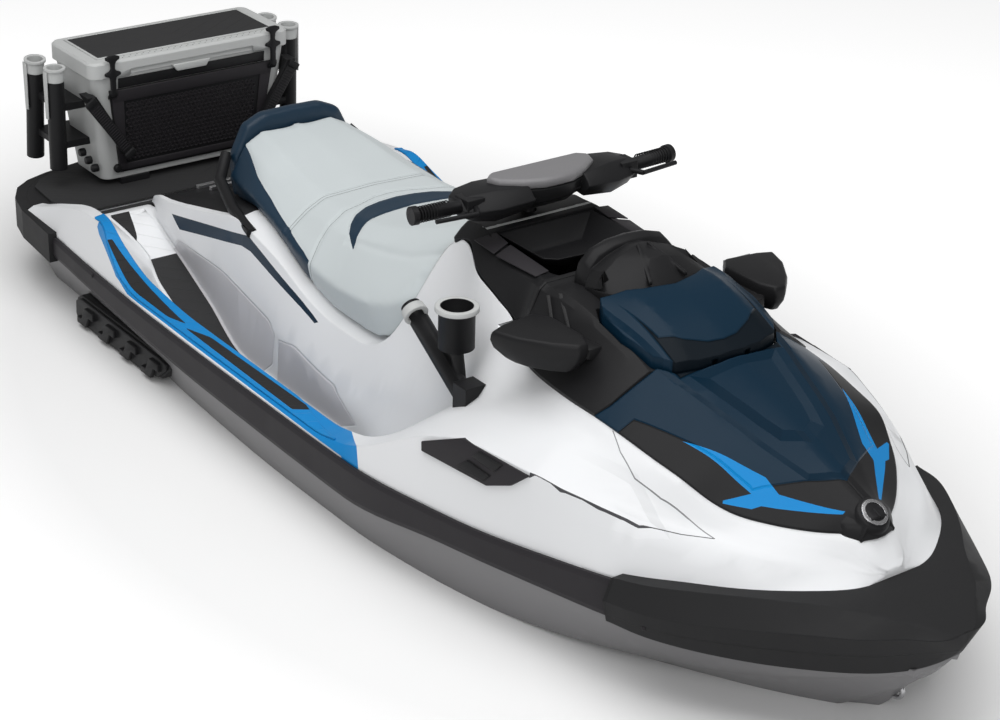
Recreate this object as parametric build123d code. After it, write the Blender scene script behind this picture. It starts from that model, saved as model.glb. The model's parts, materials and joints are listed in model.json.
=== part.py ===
"""Fishing personal watercraft: a lofted hull and deck with seat, console, hood, jet drive and
a cooler kit on the stern platform.

Axes: +X to the bow, +Y to port, +Z up.  The shape is drawn from the stern end (x = 0), the
centreline (y = 0) and the keel (z = 0).  At export everything moves so that the origin lies on
the centreline, at mid length, at the waterline.  All sizes are millimetres.
"""
from build123d import *
import math
import os

import numpy as np

# ---------------------------------------------------------------- driving sizes
LENGTH = 3711.0          # stern platform edge to bow bumper
BEAM = 1255.0            # over the side rails
WATERLINE = 247.0        # height of the water above the keel, craft empty and afloat
BOND = 452.0             # height of the flat joint between hull and deck, behind the rail
TRAY_Z = 322.0           # underside of the deck's footwell tray, which drops below the bond
RAIL_DEPTH = 16.0        # how far the side rail stands out from hull and deck
SKIN = 12.0              # thickness of lid mouldings
TRIM = 5.0               # thickness of mats and trim panels
SEAT = 0.7               # clearance of a piece seated on the curved hull or deck
REST = 0.3               # clearance of flat faces that lie on each other
PANEL_GAP = 8.0          # running gap round lids
BORE_GAP = 0.5           # running clearance of a hinge pin in its bore

PLATFORM_LOW, PLATFORM_TOP, MAT_TOP = 405.0, 500.0, 508.0
PUMP_Z = 128.0           # height of the jet pump's axis
PUMP_BORE, PUMP_WALL = 72.0, 13.0
TUNNEL_HALF, TUNNEL_TOP = 150.0, 262.0
STATOR_VANES, IMPELLER_BLADES = 6, 3
IMPELLER_PITCH = 150.0   # advance of a blade's face in one turn
HUB_RADIUS, TIP_GAP = 32.0, 1.0

COLUMN_TILT = 18.0       # steering column, degrees back from upright
COLUMN_X, COLUMN_Z, COLUMN_RADIUS, COLUMN_DEEP = 2100.0, 975.0, 24.0, 40.0
BAR_X, BAR_Z, BAR_RADIUS = 2178.0, 1086.0, 11.0
BAR_HALF = 412.0         # centreline to the end of a grip
GRIP_LENGTH, GRIP_RADIUS = 136.0, 17.0

BIN_HALF, BIN_FLOOR, BIN_TOP, BIN_WALL = 150.0, 560.0, 866.0, 6.0
CUP_RADIUS, CUP_WALL, CUP_DEPTH, CUP_TOP = 41.0, 5.0, 106.0, 903.0
ROD_RADIUS, ROD_WALL = 26.0, 4.0

COOLER_WIDTH, COOLER_DEPTH, COOLER_HEIGHT = 690.0, 280.0, 352.0
COOLER_TAPER = 38.0      # how far each side wall leans in from top to bottom
COOLER_WALL, COOLER_LID, COOLER_FOOT = 26.0, 52.0, 20.0
COOLER_X = 182.0         # centre of the cooler on the platform
TUBE_RADIUS, TUBE_WALL, TUBE_HEIGHT = 28.0, 4.0, 318.0

# The lines below are drawn for this length and beam, and stretch with the sizes above.
LINES_LENGTH, LINES_BEAM = 3711.0, 1255.0
KX, KY = LENGTH / LINES_LENGTH, BEAM / LINES_BEAM

os.makedirs("parts", exist_ok=True)
TO_ORIGIN = Location((-LENGTH / 2, 0, -WATERLINE))


def save(name, *solids):
    """Write one node: every solid of the pieces given, moved to the part's origin."""
    pieces = [s for piece in solids for s in piece.solids()]
    shape = pieces[0] if len(pieces) == 1 else Compound(children=pieces)
    export_step(TO_ORIGIN * shape, f"parts/{name}.step")
    print(f"{name:20s} solids {len(pieces)} volume {sum(s.volume for s in pieces) / 1e6:9.2f} litre")


def largest(shape):
    """The biggest solid of a cut, without the slivers beside it."""
    return max(shape.solids(), key=lambda s: s.volume)


# ---------------------------------------------------------------- fair lines and lofts
def fair(*offsets):
    """A smooth line through (x, value) offsets: a monotone cubic, flat past its ends."""
    x = np.array([p[0] for p in offsets], float)
    v = np.array([p[1] for p in offsets], float)
    step, rise = np.diff(x), np.diff(v) / np.diff(x)
    slope = np.zeros(len(x))
    for i in range(1, len(x) - 1):
        if rise[i - 1] * rise[i] > 0:
            slope[i] = 2 * rise[i - 1] * rise[i] / (rise[i - 1] + rise[i])
    slope[0], slope[-1] = rise[0], rise[-1]

    def value(station):
        s = min(max(station, x[0]), x[-1])
        i = min(max(int(np.searchsorted(x, s)) - 1, 0), len(step) - 1)
        t = (s - x[i]) / step[i]
        a = (1 + 2 * t) * (1 - t) ** 2 * v[i] + t * t * (3 - 2 * t) * v[i + 1]
        return a + step[i] * (t * (1 - t) ** 2 * slope[i] - t * t * (1 - t) * slope[i + 1])

    return value


def between(low, high, count):
    """Evenly spaced stations, ends included."""
    return [low + (high - low) * i / (count - 1) for i in range(count)]


def point(x, y, z):
    """A point on the lines, stretched to the craft's length and beam."""
    return (KX * x, KY * y, z)


def section(x, half):
    """A closed transverse face at station x from half-section (y, z) points, bottom to top."""
    port = [point(x, y, z) for y, z in half]
    starboard = [point(x, -y, z) for y, z in reversed(half) if y > 0]
    return make_face(Polyline(*port, *starboard, close=True))


def lofted(stations, half_at, ruled=False):
    """A solid through the symmetric sections that half_at gives at each station."""
    return loft([section(x, half_at(x)) for x in stations], ruled=ruled)


def side_lofted(stations, loop_at, ruled=False):
    """A port-side solid through closed (y, z) loops, with its mirror to starboard."""
    faces = [make_face(Polyline(*[point(x, y, z) for y, z in loop_at(x)], close=True)) for x in stations]
    port = loft(faces, ruled=ruled)
    return port, mirror(port, about=Plane.XZ)


def raised(half_at):
    """The same half-section moved up and out by the seating clearance."""
    return lambda x: [(y + SEAT if y else 0.0, z + SEAT) for y, z in half_at(x)]


def block(x0, x1, y0, y1, z0, z1):
    """A box between two corners, in real millimetres."""
    return Pos((x0 + x1) / 2, (y0 + y1) / 2, (z0 + z1) / 2) * Box(abs(x1 - x0), abs(y1 - y0), abs(z1 - z0))


def plan(points, z0, z1, grow=0.0):
    """An upright prism over a plan outline of (x, y) points, grown outwards if asked."""
    face = make_face(Polyline(*[(*p, z0) for p in points], close=True))
    if grow:
        face = offset(face, grow)
    return extrude(face, amount=z1 - z0, dir=(0, 0, 1))


def outline(half):
    """A closed plan outline on the stretched lines from the (x, y) points of its port half."""
    port = [point(x, y, 0)[:2] for x, y in half]
    return port + [(x, -y) for x, y in reversed(port) if y > 0]


def tube(start, end, radius, inner=0.0):
    """A round bar or tube between two points."""
    axis = Vector(*end) - Vector(*start)
    place = Plane(origin=start, z_dir=axis)
    bar = extrude(place * Circle(radius), amount=axis.length)
    return bar - extrude(place * Circle(inner), amount=axis.length) if inner else bar


def both(shape):
    """A piece and its mirror image across the centreline."""
    return shape, mirror(shape, about=Plane.XZ)


# ---------------------------------------------------------------- lines of the hull
keel_z = fair((300, 0), (2400, 0), (2800, 12), (3064, 50), (3238, 111), (3350, 160), (3461, 224),
              (3558, 328), (3640, 426))
strake_y = fair((300, 215), (1200, 262), (2000, 275), (2600, 235), (3000, 165), (3304, 92), (3500, 46),
                (3640, 10))
strake_z = fair((300, 78), (1200, 92), (2000, 96), (2600, 112), (3000, 140), (3304, 190), (3500, 300),
                (3640, 432))
chine_y = fair((300, 470), (830, 492), (1270, 540), (1830, 566), (2140, 564), (2420, 541), (2690, 492),
               (2890, 438), (3100, 362), (3304, 270), (3500, 150), (3640, 48))
chine_z = fair((300, 196), (1200, 206), (2000, 214), (2500, 236), (2890, 268), (3304, 330), (3500, 385),
               (3640, 438))
rail_y = fair((300, 600), (530, 606), (800, 617), (1170, 625), (1500, 627.5), (2200, 626), (2550, 588),
              (2930, 512), (3085, 470), (3260, 385), (3400, 300), (3517, 205), (3600, 125), (3640, 88))
rail_low = fair((300, 425), (570, 418), (1140, 390), (1500, 377), (2160, 370), (2585, 410), (3085, 430),
                (3640, 438))
rail_high = fair((300, 490), (530, 484), (1150, 470), (1990, 468), (2580, 486), (3085, 530), (3400, 560),
                 (3640, 575))


def side_y(x):
    """Half-breadth of hull and deck behind the side rail."""
    return rail_y(x) - RAIL_DEPTH


def hull_half(x, grow=0.0):
    """Hull section from the keel to the bond, or grown outwards for what seats on it."""
    return [(0.0, keel_z(x) - grow), (strake_y(x), strake_z(x) - grow),
            (strake_y(x) + 12, strake_z(x) - 3 - grow), (chine_y(x) - 22, chine_z(x) - 8 - grow),
            (chine_y(x) + grow, chine_z(x) - grow), (side_y(x) - 5 + grow, rail_low(x) - 8),
            (side_y(x) + grow, rail_low(x) + 4), (side_y(x) + grow, BOND + grow)]


# ---------------------------------------------------------------- lines of the deck
sheer_y = fair((300, 560), (440, 548), (600, 545), (750, 555), (850, 580), (950, 599), (1100, 602),
               (2000, 602), (2200, 592), (2350, 566), (2443, 548), (2600, 528), (2800, 505), (2890, 480),
               (3000, 440), (3100, 396), (3200, 338), (3300, 278), (3400, 168), (3486, 34))
sheer_z = fair((300, 502), (440, 545), (600, 588), (750, 600), (850, 550), (950, 503), (1050, 481),
               (2000, 478), (2150, 500), (2250, 540), (2350, 595), (2443, 640), (2600, 684), (2800, 690),
               (2890, 680), (3000, 668), (3100, 656), (3200, 650), (3300, 642), (3400, 622), (3486, 598))
coaming_y = fair((300, 530), (440, 512), (600, 508), (730, 520), (1050, 540), (2000, 540), (2200, 536),
                 (2350, 522), (2443, 512), (2600, 496), (2800, 472), (2890, 448), (3000, 412), (3100, 370),
                 (3200, 314), (3300, 258), (3400, 148), (3486, 28))
coaming_z = fair((300, 503), (440, 548), (600, 592), (730, 604), (850, 560), (950, 528), (1050, 508),
                 (1300, 487), (2000, 485), (2150, 508), (2250, 550), (2350, 606), (2443, 650), (2600, 696),
                 (2800, 702), (2890, 694), (3000, 681), (3100, 667), (3200, 658), (3300, 649), (3400, 629),
                 (3486, 602))
floor_out_y = fair((300, 490), (440, 475), (600, 470), (700, 452), (790, 442), (945, 474), (1300, 500),
                   (1500, 505), (1800, 500), (2050, 470), (2200, 445), (2300, 450), (2400, 462),
                   (2600, 435), (2800, 410), (2890, 390), (3000, 368), (3100, 346), (3200, 296),
                   (3300, 240), (3400, 125), (3486, 24))
floor_out_z = fair((300, 491), (430, 495), (520, 521), (600, 557), (700, 532), (760, 508), (945, 455),
                   (1060, 424), (1334, 352), (1900, 347), (2050, 400), (2200, 515), (2300, 598),
                   (2400, 655), (2600, 732), (2800, 741), (2890, 735), (3000, 716), (3100, 690),
                   (3200, 668), (3300, 656), (3400, 638), (3486, 605))
floor_in_y = fair((300, 262), (450, 300), (600, 330), (760, 335), (1060, 365), (1334, 395), (1900, 390),
                  (2050, 378), (2200, 360), (2300, 368), (2400, 395), (2600, 378), (2800, 360), (2890, 356),
                  (3000, 345), (3100, 327), (3200, 280), (3300, 212), (3400, 100), (3486, 20))
floor_in_z = fair((300, 491), (430, 495), (520, 521), (600, 557), (700, 532), (760, 508), (945, 455),
                  (1060, 424), (1334, 350), (1900, 345), (2050, 402), (2200, 522), (2300, 614),
                  (2400, 682), (2600, 756), (2800, 765), (2890, 760), (3000, 742), (3100, 718),
                  (3200, 684), (3300, 668), (3400, 652), (3486, 608))
waist_y = fair((300, 250), (450, 270), (600, 300), (700, 334), (861, 358), (1116, 364), (1385, 378),
               (1514, 386), (1729, 396), (1832, 394), (1950, 370), (2050, 340), (2200, 326), (2300, 330),
               (2400, 345), (2600, 350), (2800, 345), (2890, 342), (3000, 332), (3100, 316), (3200, 271),
               (3300, 198), (3400, 86), (3486, 18))
waist_z = fair((300, 491), (430, 495), (520, 521), (600, 558), (700, 560), (861, 552), (1116, 543),
               (1385, 495), (1514, 480), (1729, 455), (1832, 438), (1950, 480), (2050, 570), (2200, 660),
               (2300, 720), (2400, 752), (2600, 774), (2800, 778), (2890, 772), (3000, 754), (3100, 734),
               (3200, 694), (3300, 675), (3400, 662), (3486, 610))
flank_y = fair((300, 240), (450, 250), (560, 290), (663, 325), (900, 328), (1800, 330), (1900, 320),
               (1960, 292), (2010, 248), (2070, 206), (2120, 208), (2220, 244), (2390, 254), (2475, 300),
               (2600, 325), (2755, 335), (2890, 330), (3000, 320), (3100, 306), (3200, 262), (3300, 182),
               (3400, 72), (3486, 16))
flank_z = fair((300, 491), (430, 495), (520, 521), (600, 559), (663, 612), (780, 626), (1000, 672),
               (1180, 710), (1230, 700), (1385, 664), (1555, 603), (1660, 584), (1800, 580), (1900, 612),
               (1960, 700), (2010, 830), (2070, 948), (2120, 955), (2220, 912), (2390, 850), (2475, 806),
               (2600, 792), (2790, 790), (2890, 782), (3000, 765), (3100, 747), (3200, 702), (3300, 682),
               (3400, 671), (3486, 612))
bed_y = fair((300, 180), (600, 220), (663, 262), (900, 270), (1800, 262), (1900, 245), (1960, 225),
             (2070, 176), (2120, 172), (2390, 190), (2475, 225), (2790, 228), (3000, 212), (3200, 150),
             (3300, 90), (3400, 40), (3486, 8))
bed_z = fair((300, 491), (430, 495), (520, 521), (600, 560), (663, 604), (840, 655), (1000, 692),
             (1180, 722), (1230, 716), (1385, 680), (1555, 625), (1660, 605), (1800, 600), (1900, 615),
             (1960, 655), (2070, 720), (2120, 730), (2390, 742), (2475, 790), (2600, 838), (2790, 858),
             (2900, 846), (3000, 812), (3200, 738), (3300, 706), (3400, 680), (3486, 613))
HULL_STATIONS = between(160, 3640, 30)
DECK_STATIONS = between(160, 3486, 61)


def deck_half(x, grow=0.0):
    """Deck section: underside, rail, gunwale, footwell, flank and seat bed, or grown outwards."""
    outer = [(side_y(x) + grow, rail_high(x) + 3), (sheer_y(x) + grow, sheer_z(x) + grow),
             (coaming_y(x) - grow, coaming_z(x) + grow)]
    well = [(floor_out_y(x) - grow, floor_out_z(x) + grow), (floor_in_y(x) + grow, floor_in_z(x) + grow),
            (waist_y(x) + grow, waist_z(x) + grow)]
    middle = [(flank_y(x) + grow, flank_z(x) + grow), (bed_y(x) - grow, bed_z(x) + grow)]
    if grow:
        middle.insert(1, (flank_y(x) - grow, flank_z(x) + grow))
    return [(0.0, TRAY_Z), (side_y(x) + grow, TRAY_Z)] + outer + well + middle


# The hull and deck are lofted past the transom and cut off square there.  They meet at the bond,
# and the deck's footwell tray drops into a well of the same outline in the hull.
TRANSOM = KX * 300
tray_plan = outline([(300, 505), (1000, 530), (2150, 540)])
tray = plan(tray_plan, TRAY_Z, BOND)
aft_of_transom = block(0, TRANSOM, -BEAM, BEAM, -50, 1500)
hull = lofted(HULL_STATIONS, hull_half) - aft_of_transom - tray
deck = lofted(DECK_STATIONS, deck_half) - aft_of_transom
deck -= block(TRANSOM - 1, LENGTH, -BEAM, BEAM, TRAY_Z - 10, BOND) - tray
hull_seat = lofted(HULL_STATIONS, lambda x: hull_half(x, SEAT)) - aft_of_transom
deck_seat = lofted(DECK_STATIONS, lambda x: deck_half(x, SEAT)) - aft_of_transom


# ---------------------------------------------------------------- openings in hull and deck
BAY_X0, BAY_X1 = KX * 1080, KX * 1880       # engine bay under the seat
BAY_HALF, BAY_FLOOR = 190.0, 150.0
PUMP_FRONT = KX * 640                       # bulkhead at the front of the pump tunnel
INTAKE_X0, INTAKE_X1 = KX * 900, KX * 1420  # intake opening in the keel
INTAKE_HALF = 85.0
SHAFT_RADIUS = 14.0
BIN_X0, BIN_X1 = KX * 2705, KX * 2865

hull -= block(BAY_X0 - 60, BAY_X1 + 60, -BAY_HALF - 60, BAY_HALF + 60, BAY_FLOOR, BOND + 1)
deck -= block(BAY_X0, BAY_X1, -BAY_HALF, BAY_HALF, TRAY_Z - 1, 900)
hull -= block(TRANSOM - 1, PUMP_FRONT, -TUNNEL_HALF, TUNNEL_HALF, -20, TUNNEL_TOP)
duct = tube((PUMP_FRONT - 1, 0, PUMP_Z), (INTAKE_X0 + 60, 0, PUMP_Z), PUMP_BORE)
ramp = extrude(make_face(Polyline((INTAKE_X0 - 40, 0, PUMP_Z + PUMP_BORE - 2),
                                  (INTAKE_X0 + 100, 0, PUMP_Z + PUMP_BORE - 8), (INTAKE_X1, 0, 20),
                                  (INTAKE_X1, 0, -30), (INTAKE_X0, 0, -30), (INTAKE_X0 - 60, 0, 56),
                                  close=True)), amount=INTAKE_HALF, dir=(0, 1, 0), both=True)
hull -= duct
hull -= ramp
hull -= block(BAY_X0 - 60, BAY_X1 + 60, -80, 80, 95, BAY_FLOOR + 1)
hull -= tube((INTAKE_X0, 0, PUMP_Z), (BAY_X0, 0, PUMP_Z), SHAFT_RADIUS + 3)
deck -= block(BIN_X0, BIN_X1, -BIN_HALF, BIN_HALF, BIN_FLOOR, 1100)
save("hull", hull)
save("deck", deck)

storage_bin = block(BIN_X0 + REST, BIN_X1 - REST, -BIN_HALF + REST, BIN_HALF - REST, BIN_FLOOR + REST, BIN_TOP)
storage_bin -= block(BIN_X0 + BIN_WALL, BIN_X1 - BIN_WALL, -BIN_HALF + BIN_WALL, BIN_HALF - BIN_WALL,
                     BIN_FLOOR + BIN_WALL, BIN_TOP + 1)
save("storage_bin", storage_bin)


# ---------------------------------------------------------------- rail, bumpers, stern platform
def rail_loop(x):
    """Side rail, flat against hull and deck, with rounded shoulders."""
    inner = side_y(x) + SEAT
    return [(inner, rail_low(x) + 6), (rail_y(x) - 5, rail_low(x)), (rail_y(x), rail_low(x) + 14),
            (rail_y(x), rail_high(x) - 12), (rail_y(x) - 5, rail_high(x)), (inner, rail_high(x) - 1)]


save("side_rails", *side_lofted(between(521, 3083, 30), rail_loop))

bumper_low_y = fair((3085, 492), (3180, 466), (3270, 423), (3400, 335), (3500, 245), (3560, 180),
                    (3615, 100), (3660, 34), (3711, 3))
bumper_low_z = fair((3085, 434), (3560, 440), (3633, 446), (3690, 500), (3711, 540))
bumper_edge_y = fair((3085, 505), (3180, 480), (3270, 438), (3400, 352), (3500, 280), (3560, 236),
                     (3600, 196), (3650, 132), (3690, 62), (3711, 8))
bumper_edge_z = fair((3085, 492), (3270, 508), (3400, 526), (3560, 550), (3711, 560))
bumper_top_y = fair((3085, 484), (3180, 452), (3270, 398), (3400, 300), (3500, 212), (3560, 170),
                    (3600, 140), (3650, 90), (3690, 40), (3711, 5))
bumper_top_z = fair((3085, 545), (3270, 574), (3400, 588), (3500, 592), (3600, 588), (3690, 572), (3711, 564))


def bumper_half(x):
    """Bow bumper: near-upright side face below a sloping shoulder and a flat top."""
    return [(bumper_low_y(x), bumper_low_z(x)), (bumper_edge_y(x), bumper_edge_z(x)),
            (bumper_top_y(x), bumper_top_z(x))]


bow_bumper = lofted(between(3085, 3711, 14), bumper_half) - hull_seat - deck_seat
save("bow_bumper", largest(bow_bumper))

STERN = [(4, 0), (10, 120), (34, 255), (70, 390), (100, 452), (150, 505), (220, 545), (300, 565)]
STERN_OUTER = [(0, 100), (22, 262), (54, 402), (82, 475), (125, 532), (200, 575), (300, 600), (520, 618)]
platform = plan(outline(STERN), PLATFORM_LOW, PLATFORM_TOP)
bumper_rim = [point(x, y, 0)[:2] for x, y in STERN_OUTER]
bumper_rim += [point(x, side_y(x) + SEAT, 0)[:2] for x in (520, 410, 300)]
bumper_rim += [point(x, y, 0)[:2] for x, y in STERN[:1:-1]]
save("stern_platform", platform)
save("stern_bumpers", *both(plan(bumper_rim, PLATFORM_LOW, PLATFORM_TOP)))


def ramp_mat(x):
    """The part of the platform mat that runs up the slope behind the seat."""
    half = floor_out_y(x) - 8
    return [(0, floor_in_z(x) - TRIM), (half, floor_in_z(x) - TRIM), (half, floor_in_z(x) + TRIM),
            (0, floor_in_z(x) + TRIM)]


MAT_PLAN = [(16, 0), (22, 120), (46, 255), (82, 388), (112, 445), (165, 490), (300, 500), (430, 468)]
platform_mat = plan(outline(MAT_PLAN), PLATFORM_TOP + REST, MAT_TOP) - deck_seat
save("platform_mat", largest(platform_mat), 
     largest(lofted(between(446, 540, 5), ramp_mat) - Pos(0, 0, REST) * deck_seat))


# ---------------------------------------------------------------- mats
def gunwale_mat(x):
    """Raised band along the gunwale, narrowing to a point at its front end."""
    taper = 0.9 * max(0.0, (x - 1850) / 250)
    y0, z0, y1, z1 = sheer_y(x) - 2, sheer_z(x), coaming_y(x) + 2, coaming_z(x)
    y1, z1 = y1 + taper * (y0 - y1), z1 + taper * (z0 - z1)
    return [(y0, z0 - TRIM), (y0, z0 + TRIM), (y1, z1 + TRIM), (y1, z1 - TRIM)]


def floor_mat(x):
    """Mat on the floor of the footwell."""
    return [(floor_in_y(x) + 12, floor_in_z(x) - TRIM), (floor_out_y(x) - 10, floor_out_z(x) - TRIM),
            (floor_out_y(x) - 10, floor_out_z(x) + TRIM), (floor_in_y(x) + 12, floor_in_z(x) + TRIM)]


save("gunwale_mats", *[largest(m - deck_seat) for m in side_lofted(between(700, 2100, 36), gunwale_mat)])
save("footwell_mats", *[largest(m - deck_seat) for m in side_lofted(between(620, 1960, 32), floor_mat)])

# ---------------------------------------------------------------- hood, lid surround, storage lid
ridge_y = fair((2760, 205), (2850, 190), (3000, 170), (3100, 150), (3220, 105), (3320, 60), (3440, 25))
ridge_z = fair((2760, 912), (2850, 896), (3000, 850), (3100, 818), (3220, 772), (3320, 736), (3440, 700))
crown_z = fair((2760, 936), (2850, 916), (3000, 872), (3100, 838), (3220, 790), (3320, 752), (3440, 708))


def hood_half(x):
    """Half-section of the hood, lying on the deck: foot, ridge and crown."""
    return [(0, bed_z(x) - 4), (bed_y(x), bed_z(x) - 4), (flank_y(x) - 3, flank_z(x) + 1),
            (flank_y(x) - 1, flank_z(x) + 7), (ridge_y(x), ridge_z(x)), (18, crown_z(x))]


hood_solid = lofted(between(2760, 3424, 14), hood_half) - deck_seat
hood_seat = lofted(between(2760, 3424, 14), raised(hood_half))
LID_PLAN = [(2690, 0), (2668, 80), (2640, 140), (2625, 178), (2665, 200), (2750, 203), (2840, 188),
            (2884, 152), (2900, 95), (2905, 40)]
LID_LOW = BIN_TOP + PANEL_GAP
lid_plan = outline(LID_PLAN)
lid_clear = plan(lid_plan, 780, 1100, PANEL_GAP)
lid_crown_z = fair((2600, 1010), (2700, 1004), (2790, 978), (2850, 946), (2920, 905))
lid_edge_z = fair((2600, 985), (2700, 956), (2790, 934), (2850, 912), (2920, 894))


def lid_under(low, skin):
    """Half-section under the lid's top surface, lowered by a skin thickness."""
    return lambda x: [(0, low), (270, low), (270, lid_edge_z(x) - skin - 12), (200, lid_edge_z(x) - skin),
                      (120, lid_crown_z(x) - skin - 6), (0, lid_crown_z(x) - skin)]


HINGE_X, HINGE_Z = KX * 2890, lid_crown_z(2890) - 20
EYE, PIN = 9.0, 4.0
HINGE_Y, LUG_HALF = 50.0, 8.0
storage_lid = lofted(between(2600, 2930, 7), lid_under(LID_LOW, 0)) & plan(lid_plan, 780, 1100)
storage_lid -= lofted(between(2590, 2940, 7), lid_under(LID_LOW - 9, SKIN)) & plan(lid_plan, 780, 1100, -SKIN)
surround_edge = fair((2440, 965), (2550, 965), (2640, 950), (2760, 925), (2860, 888))


def surround_half(x):
    """Ring round the lid, from the deck's edge up to the lid."""
    return [(0, bed_z(x) - 4), (bed_y(x), bed_z(x) - 4), (flank_y(x) - 3, flank_z(x) + 1),
            (flank_y(x) - 1, flank_z(x) + 12), (222, surround_edge(x) - 12), (206, surround_edge(x)),
            (0, surround_edge(x))]


# the joint between the ring and the hood runs across the craft, bowed forwards
HOOD_REAR = [(2872, 0), (2868, 130), (2830, 300), (2800, 360)]
fore = plan([point(x, y, 0)[:2] for x, y in HOOD_REAR] + [(LENGTH, KY * 360), (LENGTH, -KY * 360)]
            + [point(x, -y, 0)[:2] for x, y in HOOD_REAR[:0:-1]], 500, 1200)
surround = lofted(between(2451, 2880, 9), surround_half) - deck_seat - lid_clear - fore
surround -= block(BIN_X0 - SEAT, BIN_X1 + SEAT, -BIN_HALF - SEAT, BIN_HALF + SEAT, 500, 1100)
hood = (hood_solid & Pos(REST, 0, 0) * fore) - lid_clear
hood = largest(hood - block(0, BIN_X1 + SEAT, -BIN_HALF - SEAT, BIN_HALF + SEAT, 500, 1100))
lugs = []
for s in (1, -1):
    lug = block(HINGE_X - 7, HINGE_X + 3, s * HINGE_Y - LUG_HALF, s * HINGE_Y + LUG_HALF, HINGE_Z - 90, HINGE_Z)
    lug += tube((HINGE_X, s * HINGE_Y - LUG_HALF, HINGE_Z), (HINGE_X, s * HINGE_Y + LUG_HALF, HINGE_Z), EYE)
    lug += tube((HINGE_X, s * HINGE_Y - 20, HINGE_Z), (HINGE_X, s * HINGE_Y + 20, HINGE_Z), PIN)
    lug += block(HINGE_X - 7, HINGE_X + 45, s * HINGE_Y - LUG_HALF, s * HINGE_Y + LUG_HALF, 800, BIN_TOP - 2)
    # the hinge boss behind the lid's front edge, and the slot that clears the lug
    storage_lid += tube((HINGE_X, s * HINGE_Y - 24, HINGE_Z), (HINGE_X, s * HINGE_Y + 24, HINGE_Z), EYE)
    storage_lid -= tube((HINGE_X, s * HINGE_Y - 9, HINGE_Z), (HINGE_X, s * HINGE_Y + 9, HINGE_Z), EYE + 0.8)
    storage_lid -= block(HINGE_X - 16, HINGE_X + 40, s * HINGE_Y - 9, s * HINGE_Y + 9, HINGE_Z - 60, HINGE_Z)
    storage_lid -= tube((HINGE_X, s * HINGE_Y - 21, HINGE_Z), (HINGE_X, s * HINGE_Y + 21, HINGE_Z),
                        PIN + BORE_GAP)
    lugs.append(lug - deck_seat)
for lug in lugs:
    hood += largest(lug)
save("hood", largest(hood))
save("lid_surround", *surround.solids())
save("storage_lid", largest(storage_lid))

NOSE_X, NOSE_Z = KX * 3402, 712.0
nose = plan([(NOSE_X - 26, -80), (NOSE_X + 22, -46), (NOSE_X + 34, 0), (NOSE_X + 22, 46), (NOSE_X - 26, 80)],
            660, NOSE_Z) - deck_seat - hood_seat - hood
save("nose_trim", largest(nose))
badge_plane = Plane(origin=(NOSE_X + 10, 0, NOSE_Z + REST), z_dir=(0, 0, 1))
save("nose_badge", largest(extrude(badge_plane * Circle(32), amount=7) - hood_seat))

# ---------------------------------------------------------------- console, gauge, mirrors
CONSOLE_X0, CONSOLE_X1 = 2062, 2450
WALL_X, VALLEY_X1, VALLEY_Z = KX * 2168, KX * 2420, 800.0
console_top = fair((2062, 984), (2110, 992), (2160, 990), (2250, 968), (2400, 962), (2450, 965))


def console_half(x):
    """Console between the white flanks, black down to their edge."""
    return [(0, bed_z(x) - 4), (bed_y(x), bed_z(x) - 4), (flank_y(x) - 3, flank_z(x) + 1),
            (flank_y(x) - 2, flank_z(x) + 8), (flank_y(x) * 0.5 + 82, console_top(x) - 14),
            (flank_y(x) * 0.5 + 62, console_top(x)), (0, console_top(x))]


def along(distance):
    """A point on the steering axis, at a distance up from the column's foot."""
    lean = math.radians(COLUMN_TILT)
    return (KX * COLUMN_X - distance * math.sin(lean), 0, COLUMN_Z + distance * math.cos(lean))


console = lofted(between(CONSOLE_X0, CONSOLE_X1, 9), console_half) - deck_seat
valley = loft([Plane.XY.offset(VALLEY_Z) * Pos((WALL_X + VALLEY_X1) / 2, 0) * Rectangle(VALLEY_X1 - WALL_X, 250),
               Plane.XY.offset(1010) * Pos((WALL_X + VALLEY_X1) / 2 + 10, 0)
               * Rectangle(VALLEY_X1 - WALL_X + 20, 330)], ruled=True)
# a six-sided pocket sunk into the wall that faces forward
pocket = extrude(make_face(Polyline(*[(WALL_X + 30, y, z) for y, z in (
    (-150, 906), (-97, 966), (105, 966), (139, 879), (69, 812), (-45, 812))], close=True)),
    amount=62, dir=(-1, 0, 0))
console = console - valley - pocket
console = largest(console - tube(along(-COLUMN_DEEP - 1), along(100), COLUMN_RADIUS + BORE_GAP))
save("console", console)

gauge_w = fair((2462, 130), (2540, 155), (2620, 155), (2680, 128))
gauge_z = fair((2462, 1010), (2530, 1072), (2580, 1082), (2680, 1016))


def gauge_half(x):
    """Hooded hump over the gauge."""
    return [(0, surround_edge(x) - 10), (gauge_w(x), surround_edge(x) - 10),
            (gauge_w(x) - 14, gauge_z(x) - 30), (gauge_w(x) - 60, gauge_z(x)), (0, gauge_z(x))]


surround_seat = lofted(between(2451, 2880, 9), raised(surround_half))
gauge = lofted(between(2462, 2680, 7), gauge_half) - lid_clear - surround_seat
save("gauge_pod", largest(gauge))

mirror_arm = loft([make_face(Polyline(*[point(*p) for p in pts], close=True)) for pts in (
    [(2490, 268, 850), (2745, 268, 855), (2735, 268, 940), (2495, 268, 925)],
    [(2515, 380, 890), (2650, 380, 895), (2645, 380, 948), (2515, 380, 945)],
    [(2540, 455, 915), (2600, 455, 918), (2598, 455, 940), (2540, 455, 946)])], ruled=True)
mirrors = [m - surround_seat - deck_seat - hood_seat for m in both(mirror_arm)]
save("mirror_left", largest(mirrors[0]))
save("mirror_right", largest(mirrors[1]))

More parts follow.
